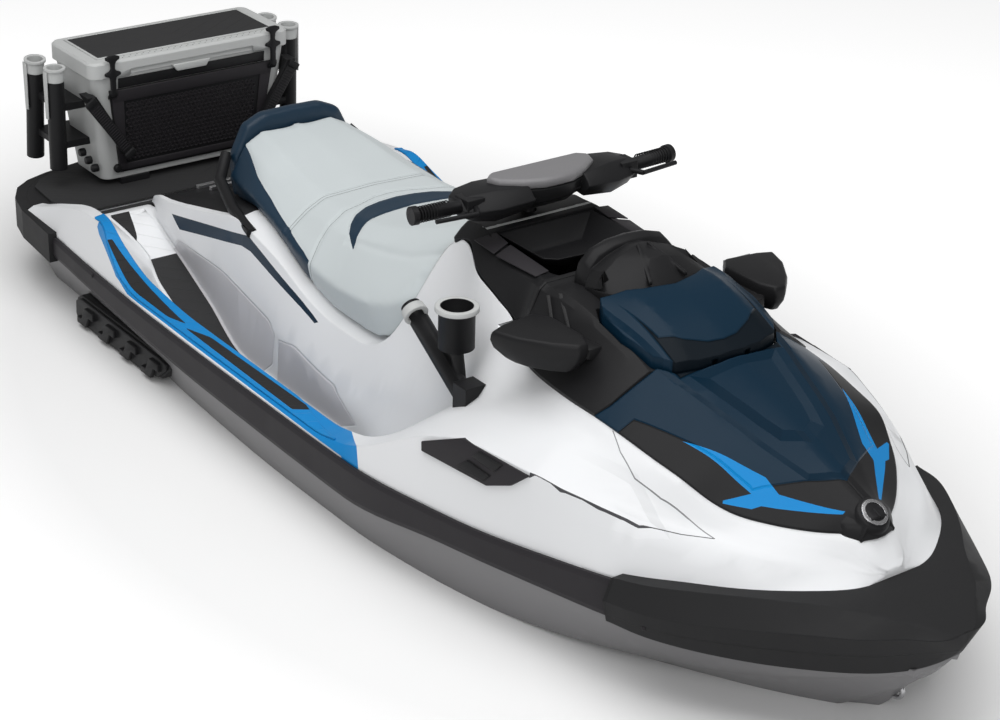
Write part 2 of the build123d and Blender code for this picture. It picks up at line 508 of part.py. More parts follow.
# ---------------------------------------------------------------- steering
bar_at = Vector(KX * BAR_X, 0, BAR_Z)
GRIP_START = BAR_HALF - GRIP_LENGTH
column = tube(along(-COLUMN_DEEP), along(112), COLUMN_RADIUS)
bar = tube((bar_at.X, 1.9 - GRIP_START, BAR_Z), (bar_at.X, GRIP_START - 1.9, BAR_Z), BAR_RADIUS)
axis_dir = Vector(*along(1)) - Vector(*along(0))
riser = loft([Plane(origin=along(60), z_dir=axis_dir) * Rectangle(62, 90),
              Plane(origin=(bar_at.X - 12, 0, BAR_Z + 12), z_dir=axis_dir) * Rectangle(66, 190)])
PAD_PLAN = [(-38, 60), (-30, 130), (-4, 152), (58, 120), (84, 62)]
pad_low = [(bar_at.X + x, y) for x, y in PAD_PLAN] + [(bar_at.X + x, -y) for x, y in reversed(PAD_PLAN)]
pad = plan(pad_low, BAR_Z + 6, BAR_Z + 44)
pad = chamfer(pad.faces().sort_by(Axis.Z)[-1].edges(), 9)
wings = [plan([(bar_at.X - 20, s * 120), (bar_at.X + 34, s * 120), (bar_at.X + 26, s * 215),
               (bar_at.X - 12, s * 235)], BAR_Z - 4, BAR_Z + 26) for s in (1, -1)]
handlebar = column + bar + riser + pad + wings[0] + wings[1]
save("handlebar", handlebar)
save("grips", *[tube((bar_at.X, s * GRIP_START, BAR_Z), (bar_at.X - 14, s * BAR_HALF, BAR_Z), GRIP_RADIUS)
                + tube((bar_at.X - 12, s * (BAR_HALF - 16), BAR_Z), (bar_at.X - 14, s * BAR_HALF, BAR_Z),
                       GRIP_RADIUS + 7) for s in (1, -1)])
bar_clear = tube((bar_at.X, -300, BAR_Z), (bar_at.X, 300, BAR_Z), BAR_RADIUS + BORE_GAP)
pods = [Pos(bar_at.X, s * 244, BAR_Z - 2) * Box(56, 52, 46) - bar_clear - handlebar for s in (1, -1)]
pods = [largest(p) for p in pods]
save("switch_blocks", *pods)
levers = [tube((bar_at.X + 28.4, s * 246, BAR_Z), (bar_at.X + 62, s * 262, BAR_Z), 7)
          + tube((bar_at.X + 62, s * 262, BAR_Z), (bar_at.X + 50, s * 380, BAR_Z), 6) for s in (1, -1)]
save("levers", *[largest(lever - pod) for lever, pod in zip(levers, pods)])

# ---------------------------------------------------------------- seat
SEAT_X0, SEAT_X1 = 945, 2044
seat_top = fair((945, 878), (1010, 868), (1080, 860), (1250, 833), (1400, 820), (1550, 824), (1700, 848),
                (1850, 892), (1960, 932), (2044, 955))
seat_top_y = fair((945, 150), (1100, 172), (1300, 190), (1500, 205), (1700, 200), (1850, 178), (1960, 150),
                  (2044, 120))
seat_side_y = fair((945, 236), (1100, 270), (1300, 300), (1500, 322), (1800, 326), (1900, 312), (1960, 284),
                   (2010, 240), (2044, 205))


def seat_low(x):
    """Underside of the seat, just over the deck."""
    return max(flank_z(x), bed_z(x)) - 3.0 if x < 1900 else bed_z(x) - 3.0


seat_low_z = fair(*[(x, seat_low(x)) for x in between(SEAT_X0, SEAT_X1, 12)])


def seat_half(x):
    """Half-section of the cushion: flat base, bulging side, rounded shoulder."""
    low, top, side = seat_low_z(x), seat_top(x), seat_side_y(x)
    return [(0, low), (side - 14, low), (side, low + 0.35 * (top - low)), (seat_top_y(x) + 30, top - 34),
            (seat_top_y(x) - 30, top - 6), (0, top)]


seat = largest(lofted(between(SEAT_X0, SEAT_X1, 17), seat_half) - deck_seat)
save("seat_cushion", seat)
RIM_X0 = SEAT_X0 - 54
rim = lofted([RIM_X0, RIM_X0 + 27, SEAT_X0 - SEAT],
             lambda x: [(0, 690), (205, 690), (212, 800), (166, 893), (104, 920), (0, 925)])
rim = largest(rim - deck_seat)
save("seat_rim", rim)
grab_path = [(905, 214, 800), (950, 262, 745), (1090, 300, 712), (1240, 326, 694)]
grabs = []
for s in (1, -1):
    a, b, c, d = [point(x, s * y, z) for x, y, z in grab_path]
    bar_run = tube(a, b, 13) + tube(b, c, 13) + tube(c, d, 13) + Pos(*b) * Sphere(13) + Pos(*c) * Sphere(13)
    grabs.append(largest(bar_run - deck_seat - rim - seat))
save("grab_handle", *grabs)

# ---------------------------------------------------------------- jet drive
PUMP_X0, PUMP_X1 = KX * 210, PUMP_FRONT
NOZZLE_X = KX * 185
STATOR_X, ROTOR_X = KX * 332, KX * 436
pump = tube((PUMP_X0, 0, PUMP_Z), (PUMP_X1, 0, PUMP_Z), PUMP_BORE + PUMP_WALL, PUMP_BORE)
pump += block(PUMP_X1 - 12, PUMP_X1, -130, 130, 20, 250) - tube((PUMP_X1 - 20, 0, PUMP_Z),
                                                                (PUMP_X1 + 1, 0, PUMP_Z), PUMP_BORE + 4)


def blade(x, root, tip, chord_root, chord_tip, angle, thick):
    """A twisted blade along +Z from the hub outwards; angle(r) is its pitch angle at radius r."""
    sections = []
    for i in range(4):
        r = root + (tip - root) * i / 3
        chord = chord_root + (chord_tip - chord_root) * i / 3
        turn = math.radians(angle(r))
        face = Plane(origin=(x, 0, r), z_dir=(0, 0, 1), x_dir=(math.cos(turn), math.sin(turn), 0))
        sections.append(face * Rectangle(chord, thick))
    return loft(sections)


vane = blade(STATOR_X, HUB_RADIUS - 4, PUMP_BORE + 4, 92, 92, lambda r: 10 + 8 * r / PUMP_BORE, 5)
pump += tube((STATOR_X - 52, 0, PUMP_Z), (STATOR_X + 52, 0, PUMP_Z), HUB_RADIUS)
for i in range(STATOR_VANES):
    pump += Pos(0, 0, PUMP_Z) * Rot(360 / STATOR_VANES * i, 0, 0) * vane
for s in (1, -1):
    pump += tube((KX * 232, s * (PUMP_BORE + 8), PUMP_Z), (KX * 232, s * 128, PUMP_Z), 10)
    ear = block(NOZZLE_X - 14, PUMP_X0 + 30, -14, 14, PUMP_Z + s * (PUMP_BORE + 4), PUMP_Z + s * (PUMP_BORE + 20))
    pump += ear - tube((NOZZLE_X, 0, PUMP_Z + s * (PUMP_BORE - 2)), (NOZZLE_X, 0, PUMP_Z + s * (PUMP_BORE + 23)), 8.05)
save("pump_housing", pump)

rotor = tube((ROTOR_X - 46, 0, PUMP_Z), (ROTOR_X + 44, 0, PUMP_Z), HUB_RADIUS - 2)
rotor_blade = blade(ROTOR_X, HUB_RADIUS - 6, PUMP_BORE + 2, 66, 98,
                    lambda r: math.degrees(math.atan(2 * math.pi * r / IMPELLER_PITCH)) * 0.8, 4.5)
for i in range(IMPELLER_BLADES):
    rotor += Pos(0, 0, PUMP_Z) * Rot(360 / IMPELLER_BLADES * i, 0, 0) * rotor_blade
rotor &= tube((ROTOR_X - 49, 0, PUMP_Z), (ROTOR_X + 49, 0, PUMP_Z), PUMP_BORE - TIP_GAP)
ENGINE_X0, ENGINE_X1 = BAY_X0 + 62, BAY_X1 - 60
rotor += tube((ROTOR_X + 40, 0, PUMP_Z), (ENGINE_X0 - REST, 0, PUMP_Z), SHAFT_RADIUS)
save("impeller", rotor)

nozzle_end = Plane(origin=(KX * 60, 0, PUMP_Z), z_dir=(-1, 0, 0))
nozzle_start = Plane(origin=(KX * 200, 0, PUMP_Z), z_dir=(-1, 0, 0))
nozzle = loft([nozzle_start * Circle(PUMP_BORE - 6), nozzle_end * Circle(PUMP_BORE - 20)])
nozzle -= loft([nozzle_start.offset(-1) * Circle(PUMP_BORE - 14), nozzle_end.offset(1) * Circle(PUMP_BORE - 28)])
for s in (1, -1):
    nozzle += tube((NOZZLE_X, 0, PUMP_Z + s * (PUMP_BORE - 11)), (NOZZLE_X, 0, PUMP_Z + s * (PUMP_BORE + 20)), 8)
save("steering_nozzle", nozzle)
GATE_X, GATE_R, GATE_HALF, GATE_WALL = KX * 232, 190.0, 118.0, 6.0
gate = Rot(90, 0, 0) * (Cylinder(GATE_R + 2 * GATE_WALL, 2 * GATE_HALF + 2 * GATE_WALL)
                        - Cylinder(GATE_R, 2 * GATE_HALF + 3 * GATE_WALL))
gate &= Pos(-20, 0, 200) * Box(150, 300, 120)
arm = extrude(make_face(Polyline((-18, 0, -14), (18, 0, -14), (40, 0, GATE_R), (-60, 0, GATE_R), close=True)),
              amount=GATE_WALL, dir=(0, 1, 0))
arm -= Rot(90, 0, 0) * Cylinder(10.05, 40)
gate += Pos(0, GATE_HALF, 0) * arm
gate += Pos(0, -GATE_HALF - GATE_WALL, 0) * arm
save("reverse_gate", Pos(GATE_X, 0, PUMP_Z) * gate)
save("ride_plate", block(KX * 240, PUMP_FRONT - SEAT, -TUNNEL_HALF + SEAT, TUNNEL_HALF - SEAT, 4, 14))
grate = block(INTAKE_X0 + 10, INTAKE_X1 - SEAT, -INTAKE_HALF + SEAT, INTAKE_HALF - SEAT, 6, 14)
for y in (-60, -20, 20, 60):
    grate -= block(INTAKE_X0 + 30, INTAKE_X1 - 20, y - 16, y + 16, 0, 20)
save("intake_grate", grate)

engine = block(ENGINE_X0, ENGINE_X1, -BAY_HALF + 20, BAY_HALF - 20, BAY_FLOOR + 1, 520)
engine += block(ENGINE_X0, ENGINE_X1, -70, 70, 95, BAY_FLOOR + 2)
save("engine", engine)


def sponson_loop(x):
    """Stabiliser blade on the hull's side."""
    return [(chine_y(x) - 20, 262), (588, 246), (606, 258), (609, 330), (592, 344), (chine_y(x) + 8, 344)]


SPONSON_X0, SPONSON_X1, RIB_PITCH = 620, 1215, 54
sponsons = side_lofted(between(SPONSON_X0, SPONSON_X1, 6), sponson_loop)
grooves = [block(KX * x - 10, KX * x + 10, s * (KY * 590), s * 700, 240, 350)
           for x in range(SPONSON_X0 + 40, SPONSON_X1 - 20, RIB_PITCH) for s in (1, -1)]
ribbed = []
for sponson in sponsons:
    body = sponson - hull_seat
    for groove in grooves:
        body -= groove
    ribbed.append(largest(body))
save("sponsons", *ribbed)

# ---------------------------------------------------------------- deck fittings
CLEAT_LOW, CLEAT_RISE = 626.0, 10.0
CLEAT_PLAN = [(2445, 560), (2490, 492), (2700, 470), (2790, 497), (2788, 522), (2700, 548), (2500, 580)]
cleat_face = lofted(between(2400, 2830, 9), lambda x: deck_half(x, CLEAT_RISE))
cleat = (plan([point(x, y, 0)[:2] for x, y in CLEAT_PLAN], CLEAT_LOW, 760) & cleat_face) - deck_seat
for x in (2600, 2680):
    cleat -= block(KX * x, KX * x + 46, KY * 496, KY * 534, 500, 760)
cleats = both(largest(cleat))
save("cleat_left", cleats[0])
save("cleat_right", cleats[1])

cup_at = point(2330, -385, CUP_TOP)
cup = tube((cup_at[0], cup_at[1], CUP_TOP - CUP_DEPTH - CUP_WALL), cup_at, CUP_RADIUS + CUP_WALL)
cup += tube((cup_at[0], cup_at[1], CUP_TOP - 8), cup_at, CUP_RADIUS + CUP_WALL + 4)
rod_a, rod_b = point(2128, -385, 826), point(2392, -402, 686)
foot = block(KX * 2385, KX * 2440, KY * -432, KY * -372, 640, 730)
stem = tube(point(2350, -385, 700), (cup_at[0], cup_at[1], CUP_TOP - CUP_DEPTH), 16)
holder = foot + stem + tube(rod_a, rod_b, ROD_RADIUS) + cup - tube(rod_a, rod_b, ROD_RADIUS - ROD_WALL)
holder -= tube((cup_at[0], cup_at[1], CUP_TOP - CUP_DEPTH), (cup_at[0], cup_at[1], CUP_TOP + 1), CUP_RADIUS)
save("cup_and_rod_holder", largest(holder - deck_seat))

save("cargo_bars", *[block(KX * x - 7, KX * x + 7, -200, 200, bed_z(x) - 20, bed_z(x) + 13) - deck_seat
                     for x in (700, 780)])
eye = Pos(KX * 3530, 0, 318) * Rot(90, 0, 0) * Torus(22, 6) - hull_seat
save("tow_eye", largest(eye))
save("stern_eyes", *[largest(Pos(KX * 290, s * KY * 450, 330) * Torus(20, 6) - hull_seat) for s in (1, -1)])

STEP_X, STEP_Z, STEP_REACH = KX * 40, 378.0, 225.0
step = block(STEP_X + STEP_REACH - 35, STEP_X + STEP_REACH, 205, 435, STEP_Z - 9, STEP_Z + 9)
for y in (205, 435):
    step += block(STEP_X, STEP_X + STEP_REACH, y - 9, y + 9, STEP_Z - 9, STEP_Z + 9)
step += tube((STEP_X, 192.3, STEP_Z), (STEP_X, 447.7, STEP_Z), 9)
save("boarding_step", step)
save("step_brackets", *[block(STEP_X - 12, STEP_X + 12, y - 8, y + 8, STEP_Z - 12, PLATFORM_LOW)
                        for y in (184, 456)])

# ---------------------------------------------------------------- cooler kit
COOLER_Z = MAT_TOP + COOLER_FOOT
LID_Z = COOLER_Z + COOLER_HEIGHT + REST
cx, cw, cd = KX * COOLER_X, COOLER_WIDTH / 2, COOLER_DEPTH / 2


def tapered(inset, low, high):
    """The cooler's outer shape moved in by inset, between two heights."""
    faces = []
    for z in (low, high):
        lean = COOLER_TAPER * (1 - (z - COOLER_Z) / COOLER_HEIGHT) + inset
        faces.append(Plane.XY.offset(z) * Pos(cx, 0)
                     * RectangleRounded(COOLER_DEPTH - 2 * lean, COOLER_WIDTH - 2 * lean, 32 - inset * 0.5))
    return loft(faces, ruled=True)


COOLER_TOP = COOLER_Z + COOLER_HEIGHT
cooler = tapered(0, COOLER_Z, COOLER_TOP)
cooler -= tapered(COOLER_WALL, COOLER_Z + COOLER_WALL, COOLER_TOP + 1)
cooler_seat = tapered(-REST, COOLER_Z - 5, COOLER_TOP)
# hinge at the back: pin and eyes on the body between knuckles on the lid
CH_X, CH_Z, CH_EYE, CH_PIN = cx - cd - 16, LID_Z + 5, 10.0, 4.0
lid = Pos(cx + 2, 0, LID_Z + COOLER_LID / 2) * extrude(RectangleRounded(COOLER_DEPTH + 14, COOLER_WIDTH + 22, 34),
                                                       amount=COOLER_LID / 2, both=True)
lid = chamfer(lid.faces().sort_by(Axis.Z)[-1].edges(), 7)
lid -= Pos(cx + cd + 9, 0, LID_Z) * Box(14, COOLER_WIDTH - 250, 36)
lid -= Pos(cx - 4, 0, LID_Z + COOLER_LID) * Box(COOLER_DEPTH - 60, COOLER_WIDTH - 70, 8)
for s in (1, -1):
    y = s * 170
    lug = tube((CH_X, y - 20, CH_Z), (CH_X, y + 20, CH_Z), CH_EYE)
    lug += block(CH_X - CH_EYE, cx - cd + 12, y - 20, y + 20, CH_Z - 46, CH_Z - 12)
    lug += block(CH_X - CH_EYE, CH_X + CH_EYE, y - 20, y + 20, CH_Z - 30, CH_Z)
    cooler += lug - tapered(COOLER_WALL - 4, COOLER_Z, COOLER_TOP)
    cooler += tube((CH_X, y - 58, CH_Z), (CH_X, y + 58, CH_Z), CH_PIN)
    for d in (1, -1):
        knuckle = tube((CH_X, y + d * 21, CH_Z), (CH_X, y + d * 59, CH_Z), CH_EYE)
        knuckle += block(CH_X, cx - cd + 2, y + d * 21, y + d * 59, CH_Z - 2, CH_Z + CH_EYE)
        lid += knuckle
    lid -= tube((CH_X, y - 60, CH_Z), (CH_X, y + 60, CH_Z), CH_PIN + BORE_GAP)
    lid -= block(CH_X - 20, CH_X + CH_EYE + 4, y - 21, y + 21, CH_Z - 20, CH_Z + 60)
save("cooler_body", cooler)
save("cooler_lid", lid)
save("cooler_lid_mat", block(cx - 4 - (COOLER_DEPTH - 66) / 2, cx - 4 + (COOLER_DEPTH - 66) / 2,
                             -cw + 38, cw - 38, LID_Z + COOLER_LID - 4 + REST, LID_Z + COOLER_LID + 2))
panel = extrude(make_face(Polyline(*[(cx + cd - 60, y, z) for y, z in (
    (-cw + 52, COOLER_TOP - 44), (-cw + 92, COOLER_Z + 22), (cw - 92, COOLER_Z + 22),
    (cw - 52, COOLER_TOP - 44))], close=True)), amount=72, dir=(1, 0, 0))
PANEL_THICK = 9.0
panel &= tapered(-PANEL_THICK, COOLER_Z + 10, COOLER_TOP - 20)
save("cooler_front_panel", largest(panel - cooler_seat))
panel_seat = tapered(-PANEL_THICK - REST, COOLER_Z - 5, COOLER_TOP)
FACE_X = cx + 2 + (COOLER_DEPTH + 14) / 2
latches = []
for y in (-232, 232):
    strap = block(FACE_X + REST, FACE_X + 12, y - 15, y + 15, LID_Z - 60, LID_Z + 26)
    latches.append(strap + block(FACE_X + REST, FACE_X + 16, y - 22, y + 22, LID_Z - 60, LID_Z - 46)
                   + block(FACE_X + REST, FACE_X + 20, y - 24, y + 24, LID_Z + 20, LID_Z + 38))
save("cooler_latches", *latches)
save("cooler_base", *[block(cx - cd + 44, cx + cd - 30, y - 50, y + 50, MAT_TOP + REST, COOLER_Z - REST)
                      for y in (-200, 200)])
holders = []
for s in (1, -1):
    y = s * (cw + 76)
    low = [(cx - 146, y, COOLER_Z + 32), (cx + 22, y, COOLER_Z + 42)]
    high = [(cx - 109, y, COOLER_Z + 32 + TUBE_HEIGHT), (cx + 31, y, COOLER_Z + 42 + TUBE_HEIGHT)]
    rack = block(cx - 132, cx + 44, s * (cw - 60), y, COOLER_Z + 110, COOLER_Z + 132)
    rack += block(cx - 122, cx + 50, s * (cw - 60), y, COOLER_Z + 236, COOLER_Z + 258)
    rack -= cooler_seat
    for a, b in zip(low, high):
        rack += tube(a, b, TUBE_RADIUS)
    for a, b in zip(low, high):
        rack -= tube(a, b, TUBE_RADIUS - TUBE_WALL)
    holders.append(largest(rack))
save("rod_holders", *holders)
STRAP_PATH = [(cw + 16, COOLER_TOP - 50), (cw - 110, COOLER_Z + 86)]
straps = []
for s in (1, -1):
    (y0, z0), (y1, z1) = STRAP_PATH
    strap = extrude(make_face(Polyline((cx + cd - 45, s * (y0 - 18), z0), (cx + cd - 45, s * (y0 + 14), z0),
                                       (cx + cd - 45, s * (y1 + 14), z1), (cx + cd - 45, s * (y1 - 18), z1),
                                       close=True)), amount=58, dir=(1, 0, 0))
    straps.append(largest(strap - panel_seat))
save("cooler_straps", *straps)
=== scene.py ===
# %% [markdown]
# # A fishing personal watercraft in Blender
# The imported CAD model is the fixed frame. Every node is already at its real size and place, in metres, with
# +X to the bow, +Y to port, +Z up and the waterline at z = 0. Blender's work is the finish: paint, plastic
# grain, vinyl, trims, screws and light.
# %% load the frame
import functools
import json
import math

import bmesh
import bpy
from mathutils import Matrix, Vector
from mathutils.bvhtree import BVHTree


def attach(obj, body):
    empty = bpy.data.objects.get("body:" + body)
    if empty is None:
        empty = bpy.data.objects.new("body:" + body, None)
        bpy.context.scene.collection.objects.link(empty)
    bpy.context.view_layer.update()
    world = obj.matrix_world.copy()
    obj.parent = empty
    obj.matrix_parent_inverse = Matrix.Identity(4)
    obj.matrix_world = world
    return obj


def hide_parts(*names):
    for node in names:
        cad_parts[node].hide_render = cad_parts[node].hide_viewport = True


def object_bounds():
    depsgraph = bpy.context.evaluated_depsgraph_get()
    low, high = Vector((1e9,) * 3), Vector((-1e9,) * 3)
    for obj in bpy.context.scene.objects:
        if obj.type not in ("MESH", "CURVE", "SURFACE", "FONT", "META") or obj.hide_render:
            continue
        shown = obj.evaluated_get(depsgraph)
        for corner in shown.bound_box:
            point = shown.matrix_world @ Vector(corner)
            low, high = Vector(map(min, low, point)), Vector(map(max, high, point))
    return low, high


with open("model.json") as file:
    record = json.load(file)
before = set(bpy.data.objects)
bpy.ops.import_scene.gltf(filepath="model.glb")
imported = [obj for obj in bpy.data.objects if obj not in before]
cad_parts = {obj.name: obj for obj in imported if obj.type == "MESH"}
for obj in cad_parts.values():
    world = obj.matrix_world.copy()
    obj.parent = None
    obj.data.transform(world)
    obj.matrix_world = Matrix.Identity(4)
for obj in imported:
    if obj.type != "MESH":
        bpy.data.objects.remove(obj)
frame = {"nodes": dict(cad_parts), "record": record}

LOW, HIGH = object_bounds()
NODES = frame["nodes"]
RECORD = frame["record"]
BODY = {node: body for body, nodes in RECORD["behaviour"]["bodies"].items() for node in nodes}
SLOT = {row["node"]: row["material_slot"] for row in RECORD["subparts"]}
print("frame:", len(NODES), "nodes in a box of", [round(v, 3) for v in HIGH - LOW])

# %% [markdown]
# ## Where things are
# A boatbuilder measures from the stern, the centreline and the keel, so every place below is given that way
# and `place` turns it into the frame. Only the stern and the keel move: the centreline is y = 0 in both.


# %% places
def place(x, y, z):
    """A point given from the stern, the centreline and the keel, in metres."""
    return Vector((LOW.x + x, y, LOW.z + z))


def placed(points):
    """Points in the frame: three plain numbers are a place, and a Vector is in the frame already."""
    return [p if isinstance(p, Vector) else place(*p) for p in points]


def new_object(name, data):
    made = bpy.data.objects.new(name, data)
    bpy.context.scene.collection.objects.link(made)
    return made


print("keel at the stern is", [round(v, 3) for v in place(0, 0, 0)])

# %% [markdown]
# ## The camera
# A long lens, ahead of the bow and to starboard, looks down along the deck. Its axes are worked out from the
# three angles a photographer thinks in: where it points, how far down it tips and how far it rolls.


# %% camera
CAMERA_PLACE, LENS_MM = place(6.50032, -3.36539, 3.24732), 83.14
YAW, PITCH, ROLL = (math.radians(degrees) for degrees in (143.235, -25.902, 1.723))


def aim_camera(where, yaw, pitch, roll, lens_mm):
    ahead = Vector((math.cos(yaw) * math.cos(pitch), math.sin(yaw) * math.cos(pitch), math.sin(pitch)))
    level = Vector((math.sin(yaw), -math.cos(yaw), 0))
    above = level.cross(ahead)
    right = level * math.cos(roll) + above * math.sin(roll)
    up = above * math.cos(roll) - level * math.sin(roll)
    lens = bpy.data.cameras.new("camera")
    lens.sensor_width, lens.lens = 36, lens_mm
    camera = new_object("camera", lens)
    camera.matrix_world = Matrix.Translation(where) @ Matrix((right, up, -ahead)).transposed().to_4x4()
    bpy.context.scene.camera = camera


aim_camera(CAMERA_PLACE, YAW, PITCH, ROLL, LENS_MM)
print("camera is", round((CAMERA_PLACE - place(1.9, 0, 0.5)).length, 2), "m from the craft")

# %% [markdown]
# ## Arithmetic on sockets
# A node material soon becomes a thicket of Math nodes. Writing it as Python expressions keeps it readable:
# `Wire` holds one socket, and adding, multiplying or comparing two of them adds the Math node that does it.
# Numbers alone are worked out in Python and never become nodes.


# %% socket class
class Wire:
    """One output socket of a node tree, with arithmetic that adds Math nodes."""

    def __init__(self, tree, socket):
        self.tree, self.socket = tree, socket

    def node(self, kind, settings=None, values=None, out=0):
        """Any other node: its settings are set first, then its sockets get values or links."""
        made = self.tree.nodes.new(kind)
        for name, value in (settings or {}).items():
            if name == "points":
                fill_curve(made.mapping.curves[0], value)
                made.mapping.update()
            else:
                setattr(made, name, value)
        for name, value in (values or {}).items():
            if isinstance(value, Wire):
                self.tree.links.new(value.socket, made.inputs[name])
            else:
                made.inputs[name].default_value = value
        return Wire(self.tree, made.outputs[out])

    def other(self, out):
        """Another output of the same node."""
        return Wire(self.tree, self.socket.node.outputs[out])

    def math(self, operation, *values):
        return self.node("ShaderNodeMath", {"operation": operation}, dict(enumerate((self, *values))))

    def __add__(self, other):
        return self.math("ADD", other)

    __radd__ = __add__

    def __sub__(self, other):
        return self.math("SUBTRACT", other)

    def __rsub__(self, other):
        return (self * -1.0).math("ADD", other)

    def __mul__(self, other):
        return self.math("MULTIPLY", other)

    __rmul__ = __mul__

    def __truediv__(self, other):
        return self.math("DIVIDE", other)

    def __gt__(self, other):
        return self.math("GREATER_THAN", other)

    def __abs__(self):
        return self.math("ABSOLUTE")


def first_wire(tree, kind, out):
    """A node that takes nothing from the others."""
    return Wire(tree, tree.nodes.new(kind).outputs[out])


def fill_curve(line, points):
    """Puts a Float Curve's points in place, joined by straight runs."""
    while len(line.points) < len(points):
        line.points.new(0.5, 0.5)
    for knot, (at, value) in zip(line.points, points):
        knot.location = (at, value)
        knot.handle_type = "VECTOR"


print("socket class ready")

# %% [markdown]
# Masks are distances. `inside` gives how far a point is within a convex outline, in metres, so one value
# serves for the paint (above nought), a groove round its edge (near nought) and an outline made of several
# (the larger of two joins them, the smaller keeps what they share). `edge_line` gives a fair line such as a
# stripe's edge as a height over a length, with one Float Curve node.


# %% masks
def smaller(*masks):
    return functools.reduce(lambda a, b: a.math("MINIMUM", b), masks)


def larger(*masks):
    return functools.reduce(lambda a, b: a.math("MAXIMUM", b), masks)


def between(value, low, high):
    return smaller(value - low, high - value)


def clamped(value):
    return value.math("MAXIMUM", 0.0).math("MINIMUM", 1.0)


def inside(u, v, corners, rounding=0.0):
    """Distance within a convex outline of (u, v) corners; corners are eased by the rounding."""
    turn = sum(a[0] * b[1] - b[0] * a[1] for a, b in zip(corners, corners[1:] + corners[:1]))
    corners = corners if turn > 0 else corners[::-1]
    point = u.node("ShaderNodeCombineXYZ", {}, {"X": u, "Y": v, "Z": 1.0})
    edges = []
    for (u0, v0), (u1, v1) in zip(corners, corners[1:] + corners[:1]):
        long = math.hypot(u1 - u0, v1 - v0)
        nu, nv = (v0 - v1) / long, (u1 - u0) / long
        edges.append(point.node("ShaderNodeVectorMath", {"operation": "DOT_PRODUCT"},
                                {0: point, 1: (nu, nv, -nu * u0 - nv * v0)}, "Value"))
    if not rounding:
        return smaller(*edges)
    return functools.reduce(lambda a, b: a.math("SMOOTH_MIN", b, rounding), edges)


def edge_line(along, points):
    """The height of a line drawn through (length, height) points."""
    starts, heights = [p[0] for p in points], [p[1] for p in points]
    x0, span = starts[0], starts[-1] - starts[0]
    h0, rise = min(heights), max(max(heights) - min(heights), 1e-6)
    knots = [((x - x0) / span, (h - h0) / rise) for x, h in points]
    return along.node("ShaderNodeFloatCurve", {"points": knots}, {"Value": (along - x0) / span}) * rise + h0


def groove(depth, width):
    """1 on an outline's edge, falling to nought half a width away."""
    return (1.0 - abs(depth) * (2.0 / width)).math("MAXIMUM", 0.0)


def step_down(depth, width):
    """A soft step: 0 outside an outline and 1 inside, over the given width."""
    return clamped(depth / width + 0.5)


def blend_colour(share, under, over):
    return share.node("ShaderNodeMix", {"data_type": "RGBA"}, {"Factor": share, 6: under, 7: over}, 2)


print("masks ready")

# %% [markdown]
# ## The studio
# The craft floats, so the floor stands for still water at z = 0. It is plain and pale and keeps the shadow;
# to the camera and to reflections it glows a little away from the craft, which makes the far floor white
# without putting more light on the craft. Light comes from a big soft panel overhead and a softer one behind
# the camera. Nothing bright stands opposite the camera, because dark gloss would mirror it as a gray haze.


# %% studio
FLOOR_REACH, FLOOR_WHITE, FLOOR_GLOW, SKY_STRENGTH = 40, 0.9, 0.42, 0.3
GLOW_HALF_SIZES, GLOW_STARTS, GLOW_RISE = (2.5, 1.5), 0.72, 1.6


def mesh_object(name, vertices, faces, edges=()):
    mesh = bpy.data.meshes.new(name)
    mesh.from_pydata([tuple(v) for v in vertices], edges, faces)
    mesh.update()
    return new_object(name, mesh)


def area_light(name, where, target, size, power):
    lamp = bpy.data.lights.new(name, "AREA")
    lamp.shape = "RECTANGLE"
    lamp.size, lamp.size_y = size
    lamp.energy = power
    light = new_object(name, lamp)
    light.location = where
    light.rotation_mode = "QUATERNION"
    light.rotation_quaternion = (Vector(target) - Vector(where)).to_track_quat("-Z", "Y")


def floor_material():
    material = bpy.data.materials.new("floor_white")
    material.use_nodes = True
    tree = material.node_tree
    shader = tree.nodes["Principled BSDF"]
    shader.inputs["Base Color"].default_value = (FLOOR_WHITE, FLOOR_WHITE, FLOOR_WHITE, 1)
    shader.inputs["Roughness"].default_value = 0.7
    shader.inputs["Specular IOR Level"].default_value = 0.1
    ray = first_wire(tree, "ShaderNodeLightPath", "Is Camera Ray")
    seen = larger(ray, ray.other("Is Glossy Ray"), ray.other("Is Transmission Ray"))
    across, along = (1 / half for half in GLOW_HALF_SIZES)
    away = seen.node("ShaderNodeVectorMath", {"operation": "MULTIPLY"},
                     {0: first_wire(tree, "ShaderNodeTexCoord", "Object"), 1: (across, along, 0)})
    away = away.node("ShaderNodeVectorMath", {"operation": "LENGTH"}, {0: away}, "Value")
    fade = clamped((away - GLOW_STARTS) * GLOW_RISE)
    lit = seen.node("ShaderNodeEmission", {}, {"Color": (1, 1, 1, 1), "Strength": seen * fade * FLOOR_GLOW})
    both = seen.node("ShaderNodeAddShader", {}, {0: Wire(tree, shader.outputs[0]), 1: lit})
    tree.links.new(both.socket, tree.nodes["Material Output"].inputs["Surface"])
    return material


def studio():
    reach = FLOOR_REACH
    corners = [(-reach, -reach, 0), (reach, -reach, 0), (reach, reach, 0), (-reach, reach, 0)]
    floor = mesh_object("floor", corners, [(0, 1, 2, 3)])
    floor.data.materials.append(floor_material())
    area_light("overhead", (0.8, -0.8, 5.5), (0, 0, 0), (7, 5), 275)
    area_light("behind_camera", (6.5, -4.5, 4.5), (0.3, 0, 0.3), (4, 4), 160)
    world = bpy.data.worlds.new("studio")
    bpy.context.scene.world = world
    world.use_nodes = True
    sky = world.node_tree.nodes["Background"]
    sky.inputs["Color"].default_value = (1, 1, 1, 1)
    sky.inputs["Strength"].default_value = SKY_STRENGTH
    bpy.context.scene.view_settings.view_transform = "Standard"
    print("studio: floor and", len(bpy.data.lights), "lamps")


studio()

